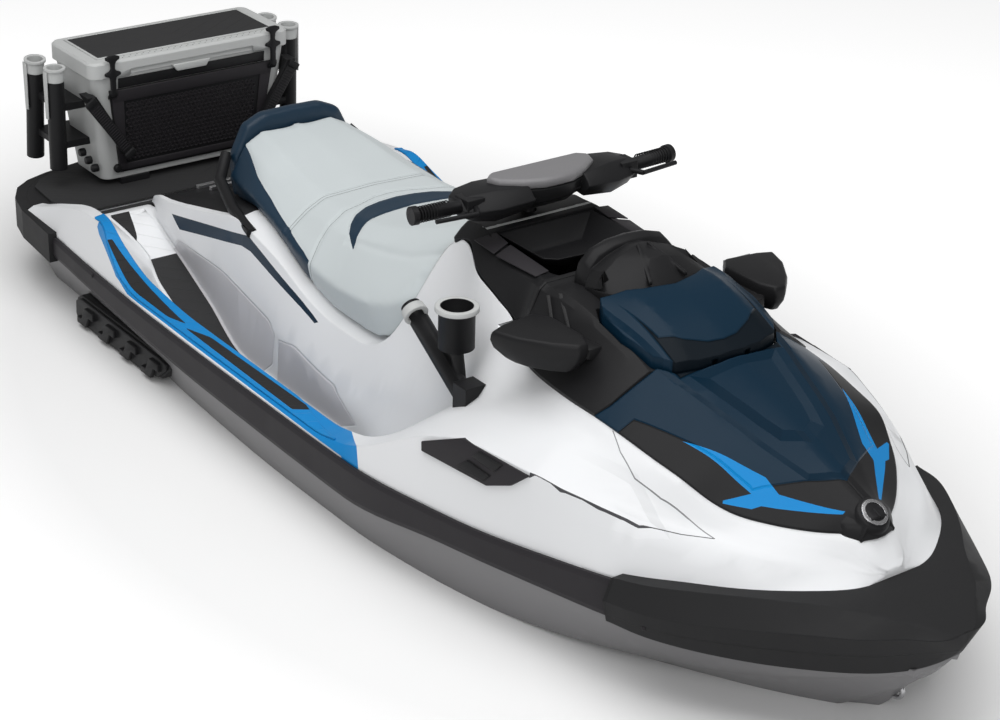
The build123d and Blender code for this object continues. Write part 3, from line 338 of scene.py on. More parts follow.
# %% [markdown]
# ## Finishes
# Every finish starts as the same node tree: Object coordinates, measured again from the stern, the centreline
# and the keel; a little colour variation; a roughness that varies with a slow noise; and a bump for grain. A
# Bevel node rounds the edges that the CAD leaves sharp. What a finish adds to that is passed in as functions
# of the surface, so a stripe or a trim is one line of outline and one colour.


# %% finish builder
class Surface:
    """A Principled material with the craft's own coordinates at hand."""

    def __init__(self, name, colour, roughness, metallic=0.0, specular=0.5, coat=0.0, bevel=0.004):
        self.material = bpy.data.materials.new(name)
        self.material.use_nodes = True
        self.tree = self.material.node_tree
        self.shader = self.tree.nodes["Principled BSDF"]
        for socket, value in (("Metallic", metallic), ("Specular IOR Level", specular), ("Coat Weight", coat),
                              ("Coat Roughness", 0.05)):
            self.shader.inputs[socket].default_value = value
        self.here = first_wire(self.tree, "ShaderNodeTexCoord", "Object")
        x = self.here.node("ShaderNodeSeparateXYZ", {}, {"Vector": self.here})
        self.x, self.side, self.z = x - LOW.x, abs(x.other("Y")), x.other("Z") - LOW.z
        self.colour, self.roughness, self.height = (*colour, 1), roughness, None
        self.slot, self.bevel = name, bevel

    def noise(self, scale, detail=2.0):
        return self.here.node("ShaderNodeTexNoise", {},
                              {"Vector": self.here, "Scale": scale, "Detail": detail}, "Fac")

    def cells(self, scale):
        return self.here.node("ShaderNodeTexVoronoi", {}, {"Vector": self.here, "Scale": scale}, "Distance")

    def from_side(self, *outlines, rounding=0.0):
        """How deep a point is in one or more outlines of (length, height), joined."""
        return larger(*(inside(self.x, self.z, corners, rounding) for corners in outlines))

    def from_above(self, *outlines, rounding=0.0):
        """The same for outlines of (length, distance out from the centreline)."""
        return larger(*(inside(self.x, self.side, corners, rounding) for corners in outlines))

    def vary(self, amount, scale=6.0):
        """Slow patches of slightly darker colour, as wear and handling leave."""
        dark = tuple(c * (1 - amount) for c in self.colour[:3]) + (1,)
        self.colour = blend_colour(self.noise(scale, 3.0), self.colour, dark)
        self.roughness = self.noise(scale * 2.3) * 0.12 + (self.roughness - 0.06)

    def paint(self, mask, colour, roughness):
        """Lays another colour where the mask is above nought."""
        share = mask > 0.0
        self.colour = blend_colour(share, self.colour, (*colour, 1))
        self.roughness = (1.0 - share) * self.roughness + share * roughness

    def raise_by(self, height):
        """Adds a height in metres to the bump."""
        self.height = height if self.height is None else self.height + height

    def finish(self):
        links = self.tree.links
        for socket, value in (("Base Color", self.colour), ("Roughness", self.roughness)):
            if isinstance(value, Wire):
                links.new(value.socket, self.shader.inputs[socket])
            else:
                self.shader.inputs[socket].default_value = value
        normal = None
        if self.bevel:
            normal = self.here.node("ShaderNodeBevel", {"samples": 6}, {"Radius": self.bevel})
        if self.height is not None:
            values = {"Height": self.height, "Distance": 1.0}
            if normal is not None:
                values["Normal"] = normal
            normal = self.here.node("ShaderNodeBump", {}, values)
        if normal is not None:
            links.new(normal.socket, self.shader.inputs["Normal"])
        return self.material


FINISH = {}


def keep(surface):
    FINISH[surface.slot] = surface.finish()
    print("finish", surface.slot, "with", len(surface.tree.nodes), "nodes")


# %% [markdown]
# ### Moulded plastics, rubber and metal
# Moulded plastic has a fine pebble grain, about a millimetre across, so it is a Voronoi bump too small to see
# from afar but enough to break up reflections. Its specular level is low: black parts would otherwise look
# gray under a soft sky. Metals are brushed, which is a noise stretched along the piece.


# %% plain finishes
BLUE, NAVY, BLACK = (0.004, 0.22, 0.56), (0.004, 0.02, 0.042), (0.014, 0.014, 0.015)


def grained(name, colour, roughness, grain, size, specular=0.25, bevel=0.004, vary=0.12):
    surface = Surface(name, colour, roughness, 0.0, specular, 0.0, bevel)
    surface.vary(vary)
    surface.raise_by(surface.cells(size) * grain)
    return surface


def brushed(name, colour, roughness):
    surface = Surface(name, colour, roughness, 1.0, bevel=0.002)
    lengthwise = surface.here.node("ShaderNodeMapping", {},
                                   {"Vector": surface.here, "Scale": (40.0, 900.0, 900.0)})
    streaks = surface.here.node("ShaderNodeTexNoise", {}, {"Vector": lengthwise, "Scale": 1.0, "Detail": 3.0})
    surface.roughness = streaks * 0.2 + (roughness - 0.1)
    surface.raise_by(streaks * 0.00002)
    return surface


bumper = grained("bumper_black", (0.022, 0.022, 0.023), 0.55, 0.00008, 500.0, 0.12)
crease = edge_line(bumper.x, [(3.05, 0.45), (3.189, 0.461), (3.31, 0.472), (3.489, 0.490), (3.62, 0.500),
                              (3.72, 0.515)])
bumper.raise_by(step_down(smaller(bumper.z - crease, bumper.x - 3.09), 0.006) * 0.005)
keep(bumper)
for name, colour, roughness, grain, size, specular in (
        ("rail_gray", (0.027, 0.025, 0.028), 0.5, 0.00006, 700.0, 0.15),
        ("trim_black", BLACK, 0.42, 0.00005, 800.0, 0.15),
        ("accent_blue", BLUE, 0.35, 0.00002, 700.0, 0.3),
        ("engine_block", (0.03, 0.03, 0.032), 0.6, 0.0003, 200.0, 0.25)):
    keep(grained(name, colour, roughness, grain, size, specular))
keep(grained("cooler_gray", (0.52, 0.53, 0.525), 0.5, 0.0001, 350.0, 0.35, 0.005, 0.06))
keep(brushed("silver", (0.62, 0.62, 0.63), 0.35))
keep(brushed("steel", (0.5, 0.5, 0.51), 0.25))
mirror = Surface("mirror", (0.8, 0.82, 0.84), 0.05, 1.0, bevel=0.0)
mirror.roughness = mirror.noise(3.0) * 0.04 + 0.03
keep(mirror)

# %% [markdown]
# ### Paint with stripes and panels
# The deck is one white moulding, and its stripes are vinyl. Its gray flank panels are painted shade: the
# white flank is tinted gray where its recessed facets fall in shade. Each is an outline in metres, seen from
# the side (length and height) or from above (length and distance out from the centreline), so both sides of
# the craft get it at once. Outlines are convex, and a shape that isn't convex is several of them joined.


# %% white deck
SEAM_START, SEAM_END, NOSE_FLOOR = 2.80, 3.222, 0.52
deck = Surface("white_gelcoat", (0.78, 0.79, 0.805), 0.32, 0.0, 0.25, 0.1, 0.006)
deck.vary(0.03, 2.0)
outer = edge_line(deck.x, [(0.70, 0.548), (0.76, 0.566), (0.92, 0.598), (1.0, 0.604), (1.40, 0.607),
                           (2.12, 0.610)])
slanted_end = (deck.side - 0.541) * 0.89 + (2.098 - deck.x) * 0.45
gunwale = smaller(outer - deck.side, deck.side - 0.529, deck.x - 0.735, slanted_end, deck.z - 0.40)
deck.paint(gunwale, BLUE, 0.3)
stripe = deck.from_side([(0.785, 0.597), (0.856, 0.574), (1.208, 0.647), (1.233, 0.684)],
                        [(1.208, 0.647), (1.256, 0.646), (1.233, 0.684)],
                        [(1.233, 0.684), (1.256, 0.646), (1.604, 0.560), (1.618, 0.567)])
flank = 0.42 - deck.side
deck.paint(smaller(stripe, flank), NAVY, 0.3)
# painted shade: the gray flank panels tint the white gelcoat where its recessed facets are in shade
panels = deck.from_side([(0.857, 0.543), (1.127, 0.545), (1.417, 0.500), (1.453, 0.472), (1.453, 0.384),
                         (1.30, 0.25), (1.0, 0.25), (0.80, 0.50)],
                        [(1.478, 0.467), (1.557, 0.483), (1.778, 0.454), (1.88, 0.377), (1.60, 0.25),
                         (1.485, 0.30)], rounding=0.01)
panels = smaller(panels, flank)
deck.paint(panels, (0.58, 0.575, 0.595), 0.35)
deck.raise_by(groove(panels, 0.008) * -0.0015)
deck.paint(smaller(between(deck.x, 0.54, 1.16), 0.312 - deck.side), BLACK, 0.5)
SEAM = [(SEAM_START, 0.505), (2.886, 0.481), (2.989, 0.445), (3.081, 0.408), (3.163, 0.354),
        (SEAM_END, 0.304)]
# painted shade: the fine gray line inside the black seam stands for the shade in the crease where the nose
# facet meets the deck
CREASE_SHADE_LINE = [(2.878, 0.329), (2.934, 0.349), (3.002, 0.360), (3.079, 0.346), (3.156, 0.321), (SEAM_END, 0.304)]
above_floor = deck.z - NOSE_FLOOR
for line, half_width, colour, roughness in ((SEAM, 0.0014, (0.06, 0.06, 0.065), 0.6),
                                            (CREASE_SHADE_LINE, 0.0011, (0.22, 0.22, 0.23), 0.5)):
    drawn = half_width - abs(deck.side - edge_line(deck.x, line))
    deck.paint(smaller(drawn, between(deck.x, line[0][0], SEAM_END), above_floor), colour, roughness)
facet = deck.from_above([(2.70, 0.35), (SEAM_START, 0.505), (2.989, 0.445), (3.081, 0.408), (3.163, 0.354),
                         (SEAM_END, 0.304), (3.0, 0.362), (2.88, 0.345)])
ramp = clamped((deck.x - SEAM_START) * 4.0)
deck.raise_by(step_down(smaller(facet, above_floor), 0.02) * ramp * -0.005)
deck.raise_by(deck.noise(60.0) * 0.00008)
keep(deck)

# %% gray hull
hull = Surface("hull_gray", (0.19, 0.187, 0.193), 0.32, 0.0, 0.25, 0.1, 0.006)
hull.vary(0.06, 2.0)
hull.raise_by(hull.noise(60.0) * 0.0001)
keep(hull)

# %% [markdown]
# ### Traction mats
# The gunwale mat is a blue foam band with two black inlays. Its grooves are routed diagonally a few
# centimetres apart. The footwell mat is black with the same grooves, and behind it the step up to the
# platform is white gelcoat with a small black patch.


# %% mats
def routed(surface, pitch, tilt, width, depth):
    """Parallel grooves across a mat: pitch and width in metres, tilt in radians from straight ahead."""
    across = surface.x * (math.cos(tilt) / pitch) + surface.side * (math.sin(tilt) / pitch)
    place_in = abs(across.math("FRACT") - 0.5) * pitch
    surface.raise_by((place_in * (2.0 / width)).math("MINIMUM", 1.0) * depth)


mats = grained("mat_black", (0.032, 0.032, 0.033), 0.75, 0.0001, 500.0)
mats.paint(smaller(between(mats.x, 0.56, 0.835), between(mats.side, 0.28, 0.60)), (0.80, 0.81, 0.825), 0.3)
patch = mats.from_above([(0.60, 0.452), (0.612, 0.392), (0.735, 0.428), (0.775, 0.462), (0.772, 0.486)],
                        rounding=0.01)
mats.paint(patch, (0.024, 0.024, 0.025), 0.75)
mats.paint(between(mats.side, 0.515, 0.62), BLUE, 0.45)
inlays = mats.from_above([(0.815, 0.568), (0.822, 0.543), (1.0, 0.553), (1.345, 0.553), (1.215, 0.588),
                          (0.985, 0.590)],
                         [(1.30, 0.583), (1.40, 0.556), (1.925, 0.550), (1.885, 0.590), (1.68, 0.588)],
                         rounding=0.006)
mats.paint(inlays, (0.02, 0.02, 0.021), 0.7)
mats.raise_by(groove(inlays, 0.005) * -0.001)
routed(mats, 0.045, 0.6, 0.004, 0.0012)
keep(mats)

# %% [markdown]
# ### Marine vinyl
# Seat vinyl has a fine leather grain and a soft sheen. The grain is two sizes of cells, raised by a tenth of
# a millimetre, and the colour goes slightly darker in patches where hands and knees rub it. The saddle is
# sewn from panels: a navy panel low on each side, a navy arc across the middle, and seams between them.


# %% seat outlines
SIDE_PANEL = [(0.90, 0.850), (1.0, 0.826), (1.10, 0.797), (1.225, 0.772), (1.371, 0.741), (1.478, 0.717),
              (1.56, 0.69)]
CROSS_SEAM = [(0.0, 1.45), (0.05, 1.452), (0.12, 1.475), (0.20, 1.495), (0.267, 1.507), (0.34, 1.54)]
ARC_REAR = [(0.0, 1.486), (0.06, 1.489), (0.112, 1.501), (0.16, 1.529), (0.199, 1.56), (0.226, 1.594),
            (0.25, 1.65)]
ARC_FRONT = [(0.0, 1.572), (0.096, 1.577), (0.145, 1.589), (0.194, 1.611), (0.226, 1.634), (0.25, 1.652)]
FRONT_CREASE = [(1.60, 0.78), (1.664, 0.795), (1.805, 0.816), (1.895, 0.835), (1.968, 0.862), (2.06, 0.90)]
REAR_SEAM = 1.371
PANEL_END = 1.517
SEAT_NAVY = (0.007, 0.026, 0.05)


def vinyl(name, colour, roughness):
    surface = Surface(name, colour, roughness, 0.0, 0.35, 0.0, 0.012)
    surface.vary(0.05, 5.0)
    surface.raise_by(surface.cells(420.0) * 0.00012 + surface.cells(1100.0) * 0.00004)
    return surface


saddle = vinyl("seat_gray", (0.58, 0.625, 0.635), 0.45)
panel = smaller(edge_line(saddle.x, SIDE_PANEL) - saddle.z, PANEL_END - saddle.x)
arc = between(saddle.x, edge_line(saddle.side, ARC_REAR), edge_line(saddle.side, ARC_FRONT))
for mask in (panel, arc):
    saddle.paint(mask, SEAT_NAVY, 0.42)
seams = smaller(abs(abs(saddle.x - REAR_SEAM) - 0.006), abs(saddle.x - edge_line(saddle.side, CROSS_SEAM)))
saddle.paint(smaller(0.0009 - seams, panel * -1.0), (0.2, 0.215, 0.22), 0.6)
keep(saddle)
keep(vinyl("seat_navy", SEAT_NAVY, 0.42))

# %% [markdown]
# ### The hood
# The hood is navy gloss over black side inserts, with a bright blue accent in each edge and a black trim that
# runs round the nose. The outlines are seen from above. A raised panel in the middle, with a shallow scoop in
# it, is pressed in with the bump: its edges are soft steps some millimetres high. The storage lid shares the
# finish, and the shadow under its front lip is painted in as a darker navy.


# %% hood paint
hood = Surface("navy_gloss", (0.004, 0.021, 0.042), 0.36, 0.0, 0.12, 0.0, 0.006)
hood.vary(0.1, 3.0)
side_insert = [(2.895, 0.345), (2.905, 0.284), (3.041, 0.240), (3.179, 0.190), (3.222, 0.188), (3.20, 0.345)]
nose = [(3.165, 0.345), (3.185, 0.245), (3.225, 0.150), (3.268, 0.078), (3.312, 0.0), (3.60, 0.0),
        (3.60, 0.345)]
black = hood.from_above(side_insert, nose)
hood.paint(black, BLACK, 0.4)
stripe = [(3.030, 0.2485), (3.207, 0.150), (3.252, 0.147), (3.232, 0.190), (3.185, 0.204)]
spear = [(3.215, 0.200), (3.250, 0.148), (3.368, 0.052), (3.368, 0.060), (3.268, 0.170), (3.225, 0.213)]
barb = [(3.218, 0.185), (3.250, 0.180), (3.237, 0.214), (3.190, 0.259), (3.186, 0.255)]
hood.paint(hood.from_above(stripe, spear, barb), BLUE, 0.3)
centre = hood.from_above([(2.60, -0.3), (2.60, 0.20), (2.876, 0.178), (3.139, 0.115), (3.262, 0.070),
                          (3.305, -0.01), (3.305, -0.3)])
scoop = hood.from_above([(2.925, -0.3), (2.925, 0.115), (3.10, 0.072), (3.150, 0.055), (3.185, -0.01),
                         (3.185, -0.3)])
hood.raise_by(step_down(centre, 0.016) * 0.009)
hood.raise_by(step_down(scoop, 0.030) * -0.016)
hood.raise_by(groove(black, 0.006) * -0.002)
lid_top = hood.from_above([(2.60, -0.2), (2.60, 0.17), (2.812, 0.150), (2.845, 0.100), (2.868, 0.045),
                           (2.874, 0.0), (2.874, -0.2)])
# painted shadow: the front lip under the storage lid's overhang is darkened
lip_shadow = smaller(lid_top * -1.0, 0.158 - hood.side, hood.z - 0.872, 2.907 - hood.x)
hood.paint(lip_shadow, (0.0015, 0.005, 0.009), 0.5)
hood.raise_by(step_down(lip_shadow, 0.006) * -0.004)
keep(hood)

# %% [markdown]
# ## Ways to make a piece
# Small parts are made in mesh code with four moves: `prism` pushes an outline through a thickness, `loft`
# joins rings of points, `turned` spins a profile as a lathe does, and `rod` sweeps a round section along a
# path. Each gives a closed mesh whose faces point outwards; a Bevel modifier eases its edges.


# %% solids
def smooth(mesh, angle=30):
    """Shaded smooth, and sharp where faces meet at more than an angle in degrees."""
    mesh.shade_smooth()
    mesh.set_sharp_from_angle(angle=math.radians(angle))


def baked(piece, name):
    """The piece with its modifiers worked out, as a new plain mesh object."""
    bpy.context.view_layer.update()
    graph = bpy.context.evaluated_depsgraph_get()
    mesh = bpy.data.meshes.new_from_object(piece.evaluated_get(graph), depsgraph=graph)
    bpy.data.objects.remove(piece)
    return new_object(name, mesh)


def solid(name, vertices, faces, bevel):
    piece = mesh_object(name, vertices, faces)
    work = bmesh.new()
    work.from_mesh(piece.data)
    bmesh.ops.remove_doubles(work, verts=work.verts, dist=1e-6)
    bmesh.ops.recalc_face_normals(work, faces=work.faces)
    work.to_mesh(piece.data)
    work.free()
    if bevel:
        ease = piece.modifiers.new("ease", "BEVEL")
        ease.width, ease.segments, ease.limit_method, ease.angle_limit = bevel, 2, "ANGLE", math.radians(28)
        piece = baked(piece, name)
    smooth(piece.data)
    return piece


def skin(rings, capped=True):
    """Points and faces over rings of equally many points; the last ring is closed, the first where capped."""
    n = len(rings[0])
    faces = [(i * n + j, i * n + (j + 1) % n, (i + 1) * n + (j + 1) % n, (i + 1) * n + j)
             for i in range(len(rings) - 1) for j in range(n)]
    if capped:
        faces.append(tuple(range(n)))
    faces.append(tuple(range((len(rings) - 1) * n, len(rings) * n)))
    return [p for ring in rings for p in placed(ring)], faces


def loft(name, rings, bevel=0.0):
    return solid(name, *skin(rings), bevel)


def prism(name, outline, push, bevel=0.002):
    """An outline of points pushed through a vector."""
    start = placed(outline)
    return loft(name, [start, [p + Vector(push) for p in start]], bevel)


def turned(name, origin, axis, profile, steps=32, bevel=0.0):
    """A (radius, height) profile spun about an axis; it closes on itself when it ends where it starts."""
    up = Vector(axis).normalized()
    u = up.orthogonal().normalized()
    v = up.cross(u)
    vertices = []
    for i in range(steps):
        turn = 2 * math.pi * i / steps
        out = u * math.cos(turn) + v * math.sin(turn)
        vertices += [origin + out * max(r, 1e-5) + up * h for r, h in profile]
    n = len(profile)
    faces = [(i * n + j, i * n + j + 1, (i + 1) % steps * n + j + 1, (i + 1) % steps * n + j)
             for i in range(steps) for j in range(n - 1)]
    return solid(name, vertices, faces, bevel)


def rod(name, points, radii, sides=16):
    """A round section along a path, with a radius for each point."""
    points = placed(points)
    rings, across = [], None
    for i, (p, r) in enumerate(zip(points, radii)):
        ahead = (points[min(i + 1, len(points) - 1)] - points[max(i - 1, 0)]).normalized()
        across = ahead.orthogonal() if across is None else across - ahead * across.dot(ahead)
        across = across.normalized()
        over = ahead.cross(across)
        rings.append([p + (across * math.cos(t) + over * math.sin(t)) * r
                      for t in (2 * math.pi * k / sides for k in range(sides))])
    return loft(name, rings)


def joined(name, pieces):
    """Several pieces of one finish as one mesh."""
    work = bmesh.new()
    for piece in pieces:
        work.from_mesh(piece.data)
        bpy.data.objects.remove(piece)
    mesh = bpy.data.meshes.new(name)
    work.to_mesh(mesh)
    work.free()
    return new_object(name, mesh)


def mirrored(piece, name):
    """A copy on the other side of the centreline, with its faces turned outwards again."""
    copy = new_object(name, piece.data.copy())
    copy.data.transform(Matrix.Diagonal((1, -1, 1, 1)))
    copy.data.flip_normals()
    return copy


def both_sides(name, pieces):
    """Pieces and their mirror images as one mesh."""
    starboard = joined(name, pieces)
    return joined(name, [starboard, mirrored(starboard, name + "_port")])


print("makers ready")

# %% [markdown]
# ## What repeats
# Ribs, holes and stitches repeat, so Geometry Nodes make them. The tree takes a small pattern piece
# and a row or grid of places, lifts every other row sideways where asked, puts the piece on each place,
# makes the copies real and gives them their material. The modifier's inputs are set by identifier before it
# is first worked out, and the result is kept as a plain mesh.


# %% repeat tree
def begin_tree(name, sockets):
    """A new tree with the given inputs: the tree, its sockets' identifiers and a Wire from each."""
    tree = bpy.data.node_groups.new(name, "GeometryNodeTree")
    kinds = {"Geometry": "Geometry", "Piece": "Object", **sockets, "Finish": "Material"}
    add = tree.interface.new_socket
    names = {label: add(label, in_out="INPUT", socket_type="NodeSocket" + kind).identifier
             for label, kind in kinds.items()}
    add("Geometry", in_out="OUTPUT", socket_type="NodeSocketGeometry")
    given = first_wire(tree, "NodeGroupInput", "Geometry")
    return tree, names, {label: given.other(label) for label in names}


def end_tree(tree, inputs, points, **turn):
    """The last nodes: the pattern piece on every point, made real, with its material."""
    piece = points.node("GeometryNodeObjectInfo", {}, {"Object": inputs["Piece"]}, "Geometry")
    real = points.node("GeometryNodeInstanceOnPoints", {}, {"Points": points, "Instance": piece, **turn})
    real = real.node("GeometryNodeRealizeInstances", {}, {"Geometry": real})
    real = real.node("GeometryNodeSetMaterial", {}, {"Geometry": real, "Material": inputs["Finish"]})
    tree.links.new(real.socket, tree.nodes.new("NodeGroupOutput").inputs["Geometry"])


def repeat_tree():
    tree, names, inputs = begin_tree("repeat", {"Columns": "Int", "Rows": "Int", "Start": "Vector",
                                                "Across": "Vector", "Down": "Vector", "Stagger": "Float"})
    given = inputs["Geometry"]
    line = given.node("GeometryNodeMeshLine", {}, {"Count": inputs["Columns"] * inputs["Rows"],
                                                   "Offset": (0, 0, 0)})
    number = given.node("GeometryNodeInputIndex")
    column = number.math("MODULO", inputs["Columns"])
    row = (number / inputs["Columns"]).math("FLOOR")
    shift = column + row.math("MODULO", 2.0) * inputs["Stagger"]
    first = given.node("ShaderNodeVectorMath", {"operation": "SCALE"}, {0: inputs["Across"], "Scale": shift})
    second = given.node("ShaderNodeVectorMath", {"operation": "SCALE"}, {0: inputs["Down"], "Scale": row})
    where = first.node("ShaderNodeVectorMath", {"operation": "ADD"}, {0: first, 1: second})
    where = where.node("ShaderNodeVectorMath", {"operation": "ADD"}, {0: where, 1: inputs["Start"]})
    spread = line.node("GeometryNodeSetPosition", {}, {"Geometry": line, "Position": where})
    end_tree(tree, inputs, spread)
    return tree, names


def run_tree(holder, kind, piece, slot, **values):
    """A holder mesh worked through a tree and kept as a plain mesh; the pattern piece goes."""
    tree, names = kind
    step = holder.modifiers.new(tree.name, "NODES")
    step.node_group = tree
    for label, value in {"Piece": piece, "Finish": FINISH[slot], **values}.items():
        step[names[label]] = value
    made = baked(holder, holder.name)
    bpy.data.objects.remove(piece)
    made.data.shade_smooth()
    print(made.name, "has", len(made.data.polygons), "faces")
    return made


REPEAT = repeat_tree()


def repeated(name, piece, slot, start, across, columns, down=(0, 0, 0), rows=1, stagger=0.0):
    """Copies of a small piece, made about the origin, in rows from a starting place."""
    made = run_tree(mesh_object(name, [], []), REPEAT, piece, slot, Columns=columns, Rows=rows,
                    Start=tuple(start), Across=tuple(across), Down=tuple(down), Stagger=stagger)
    smooth(made.data)
    return made


print("repeat tree has", len(REPEAT[0].nodes), "nodes")

# %% [markdown]
# ## Shells
# The CAD nodes are loose triangles and shade flat. A merged copy, smooth inside each face and sharp where
# faces meet at an angle, takes the node's place and looks like a moulding. The CAD node stays hidden.


# %% shells
def smooth_copy(node):
    """A merged copy of a node's loose triangles, shaded smooth within its faces."""
    piece = new_object(node + "_shell", NODES[node].data.copy())
    work = bmesh.new()
    work.from_mesh(piece.data)
    bmesh.ops.remove_doubles(work, verts=work.verts, dist=2e-5)
    bmesh.ops.dissolve_degenerate(work, edges=work.edges, dist=1e-6)
    work.to_mesh(piece.data)
    work.free()
    smooth(piece.data, 12)
    return piece


REPLACED = set()


def settle(piece, body, slot, *nodes):
    """A finished piece takes its material, rides on its body and stands for the CAD nodes it replaces."""
    piece.data.materials.clear()
    piece.data.materials.append(FINISH[slot])
    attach(piece, body)
    if nodes:
        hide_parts(*nodes)
        REPLACED.update(nodes)


print("shell helpers ready")

# %% [markdown]
# ## The saddle
# A foam saddle under vinyl is plump between its seams. The CAD solid gives its size; here it is remeshed into
# even squares, shrunk by four millimetres, and blown up again with Blender's cloth and a little air pressure.
# No point may move more than the four millimetres, so the result stays in the CAD solid's room. The seams
# come last, because remeshing would erase them: points near a seam line are drawn in.


# %% padding helpers
SHRINK, AIR_PRESSURE, LAST_FRAME = 0.004, 4, 20


def line_at(points, at):
    """The same fair line as edge_line, worked out in Python."""
    for (x0, v0), (x1, v1) in zip(points, points[1:]):
        if at <= x1:
            return v0 + (v1 - v0) * max(at - x0, 0) / (x1 - x0)
    return points[-1][1]


def move_to(piece, spots):
    for v, spot in zip(piece.data.vertices, spots):
        v.co = spot


def inflated(piece, start):
    """The piece under air pressure, with no point further than the shrinkage from its start."""
    cloth = piece.modifiers.new("air", "CLOTH")
    cloth.settings.use_pressure = True
    cloth.settings.uniform_pressure_force = AIR_PRESSURE
    cloth.settings.effector_weights.gravity = 0
    cloth.settings.quality = 3
    cloth.point_cache.frame_start, cloth.point_cache.frame_end = 1, LAST_FRAME
    for number in range(1, LAST_FRAME + 1):
        bpy.context.scene.frame_set(number)
    piece = baked(piece, piece.name)
    bpy.context.scene.frame_set(1)
    moves = [v.co - at for v, at in zip(piece.data.vertices, start)]
    move_to(piece, [at + move * min(1.0, SHRINK / max(move.length, 1e-9)) for at, move in zip(start, moves)])
    return piece


def plump(node, voxel, seam_depth, rounds):
    """A padded copy of a node, blown up by cloth and sewn along the lines that seam_depth gives."""
    name = node + "_padded"
    piece = smooth_copy(node)
    remesh = piece.modifiers.new("even squares", "REMESH")
    remesh.mode, remesh.voxel_size = "VOXEL", voxel
    ease = piece.modifiers.new("ease", "SMOOTH")
    ease.factor, ease.iterations = 0.5, rounds
    piece = baked(piece, name)
    start = [v.co - v.normal * SHRINK for v in piece.data.vertices]
    move_to(piece, start)
    piece = inflated(piece, start)
    split = piece.modifiers.new("finer", "SUBSURF")
    split.levels = split.render_levels = 1
    piece = baked(piece, name)
    keel = place(0, 0, 0)
    move_to(piece, [v.co - v.normal * seam_depth(v.co - keel) for v in piece.data.vertices])
    piece.data.shade_smooth()
    print(node, "padded with", len(piece.data.polygons), "faces")
    return piece


# %% saddle and rim
def near(distance, width):
    return math.exp(-((distance / width) ** 2))


def saddle_seams(p):
    """How far a point of the saddle is drawn in: two seams, the arc's edges and the crease over the knees."""
    side = abs(p.y)
    depth = 0.0022 * near(abs(p.x - REAR_SEAM) - 0.006, 0.006)
    depth += 0.003 * near(p.x - line_at(CROSS_SEAM, side), 0.007)
    if side < 0.25:
        depth += 0.002 * near(p.x - line_at(ARC_REAR, side), 0.006)
        depth += 0.002 * near(p.x - line_at(ARC_FRONT, side), 0.006)
    if p.x > 1.6 and side > 0.15:
        depth += 0.003 * near(p.z - line_at(FRONT_CREASE, p.x), 0.008)
    if p.x < PANEL_END:
        depth += 0.002 * near(p.z - line_at(SIDE_PANEL, p.x), 0.006)
    return depth


cushion = plump("seat_cushion", 0.009, saddle_seams, 6)
settle(cushion, "seat", "seat_gray", "seat_cushion")
backrest = plump("seat_rim", 0.008, lambda p: 0.0, 24)
settle(backrest, "seat", "seat_navy", "seat_rim")

# %% [markdown]
# ## The cooler
# The cooler is a rotomoulded box with a black front panel. The panel's honeycomb is a few hundred small
# six-sided cups, staggered row by row, inside a raised frame. Its front leans back six degrees, so the
# places on it are worked out from that lean.

# %% cooler front
ORIGIN = Vector((0, 0, 0))
FRONT_X, FRONT_Z, FRONT_LEAN = 0.3262, 0.836, 0.105


def on_front(y, z, proud=0.0):
    """A point on the cooler's leaning front, a little proud of the black panel."""
    return place(FRONT_X + (z - FRONT_Z) * FRONT_LEAN + proud, y, z)


def hexagon(radius, x):
    turns = [math.pi / 3 * (k + 0.5) for k in range(6)]
    return [Vector((x, radius * math.cos(turn), radius * math.sin(turn))) for turn in turns]


def rectangle(u0, u1, v0, v1):
    return [(u0, v0), (u1, v0), (u1, v1), (u0, v1)]


cell = loft("cell", [hexagon(radius, x) for radius, x in ((0.0086, 0.0), (0.0080, 0.0032), (0.0060, 0.0032),
                                                          (0.0054, 0.0002))])
honeycomb = repeated("cooler_honeycomb", cell, "rail_gray", on_front(-0.229, 0.778, -0.0002),
                     (0, 0.0158, 0), 29, (-0.00146, 0, -0.0139), 14, 0.5)
settle(honeycomb, "craft", "rail_gray")
POST = [(0.285, 0.797), (0.245, 0.797), (0.232, 0.560), (0.256, 0.560)]
frame_bars = [prism("bar", [on_front(y, z) for y, z in rectangle(-half, half, low, high)],
                    (0.004, 0, -0.0004), 0.0012)
              for half, low, high in ((0.285, 0.796, 0.836), (0.255, 0.558, 0.580))]
frame_bars += [prism("bar", [on_front(side * y, z) for y, z in POST], (0.004, 0, 0), 0.0012)
               for side in (-1, 1)]
settle(joined("cooler_frame", frame_bars), "craft", "rail_gray")
band = prism("cooler_band", [(0.3212, -0.262, 0.839), (0.3212, 0.262, 0.839), (0.3250, 0.262, 0.873),
                             (0.3250, -0.262, 0.873)], (0.0025, 0, 0), 0.0008)
settle(band, "craft", "trim_black")

# %% [markdown]
# Each lid latch is a rubber pull: a tongue hooked low on the box, a T-shaped thumb piece at the lid's edge
# and a second on its neck above the lid. Its outline is drawn flat and pushed through nine millimetres.


# %% latches
PULL = [(0.006, 0.0), (0.009, 0.010), (0.009, 0.050), (0.011, 0.062), (0.027, 0.069), (0.027, 0.077),
        (0.011, 0.083), (0.007, 0.090), (0.008, 0.106), (0.012, 0.113), (0.024, 0.120), (0.024, 0.128),
        (0.010, 0.133)]


def latch(y):
    outline = PULL + [(-w, h) for w, h in reversed(PULL)]
    tongue = prism("latch", [(0.3335, y + w, 0.822 + h) for w, h in outline], (0.009, 0, 0))
    hook = prism("hook", [(0.327, y - 0.016, 0.822), (0.327, y + 0.016, 0.822), (0.341, y + 0.013, 0.842),
                          (0.341, y - 0.013, 0.842)], (0, 0, -0.012))
    return [tongue, hook]


settle(joined("lid_latches", latch(-0.285) + latch(0.288)), "cooler_lid", "trim_black", "cooler_latches")

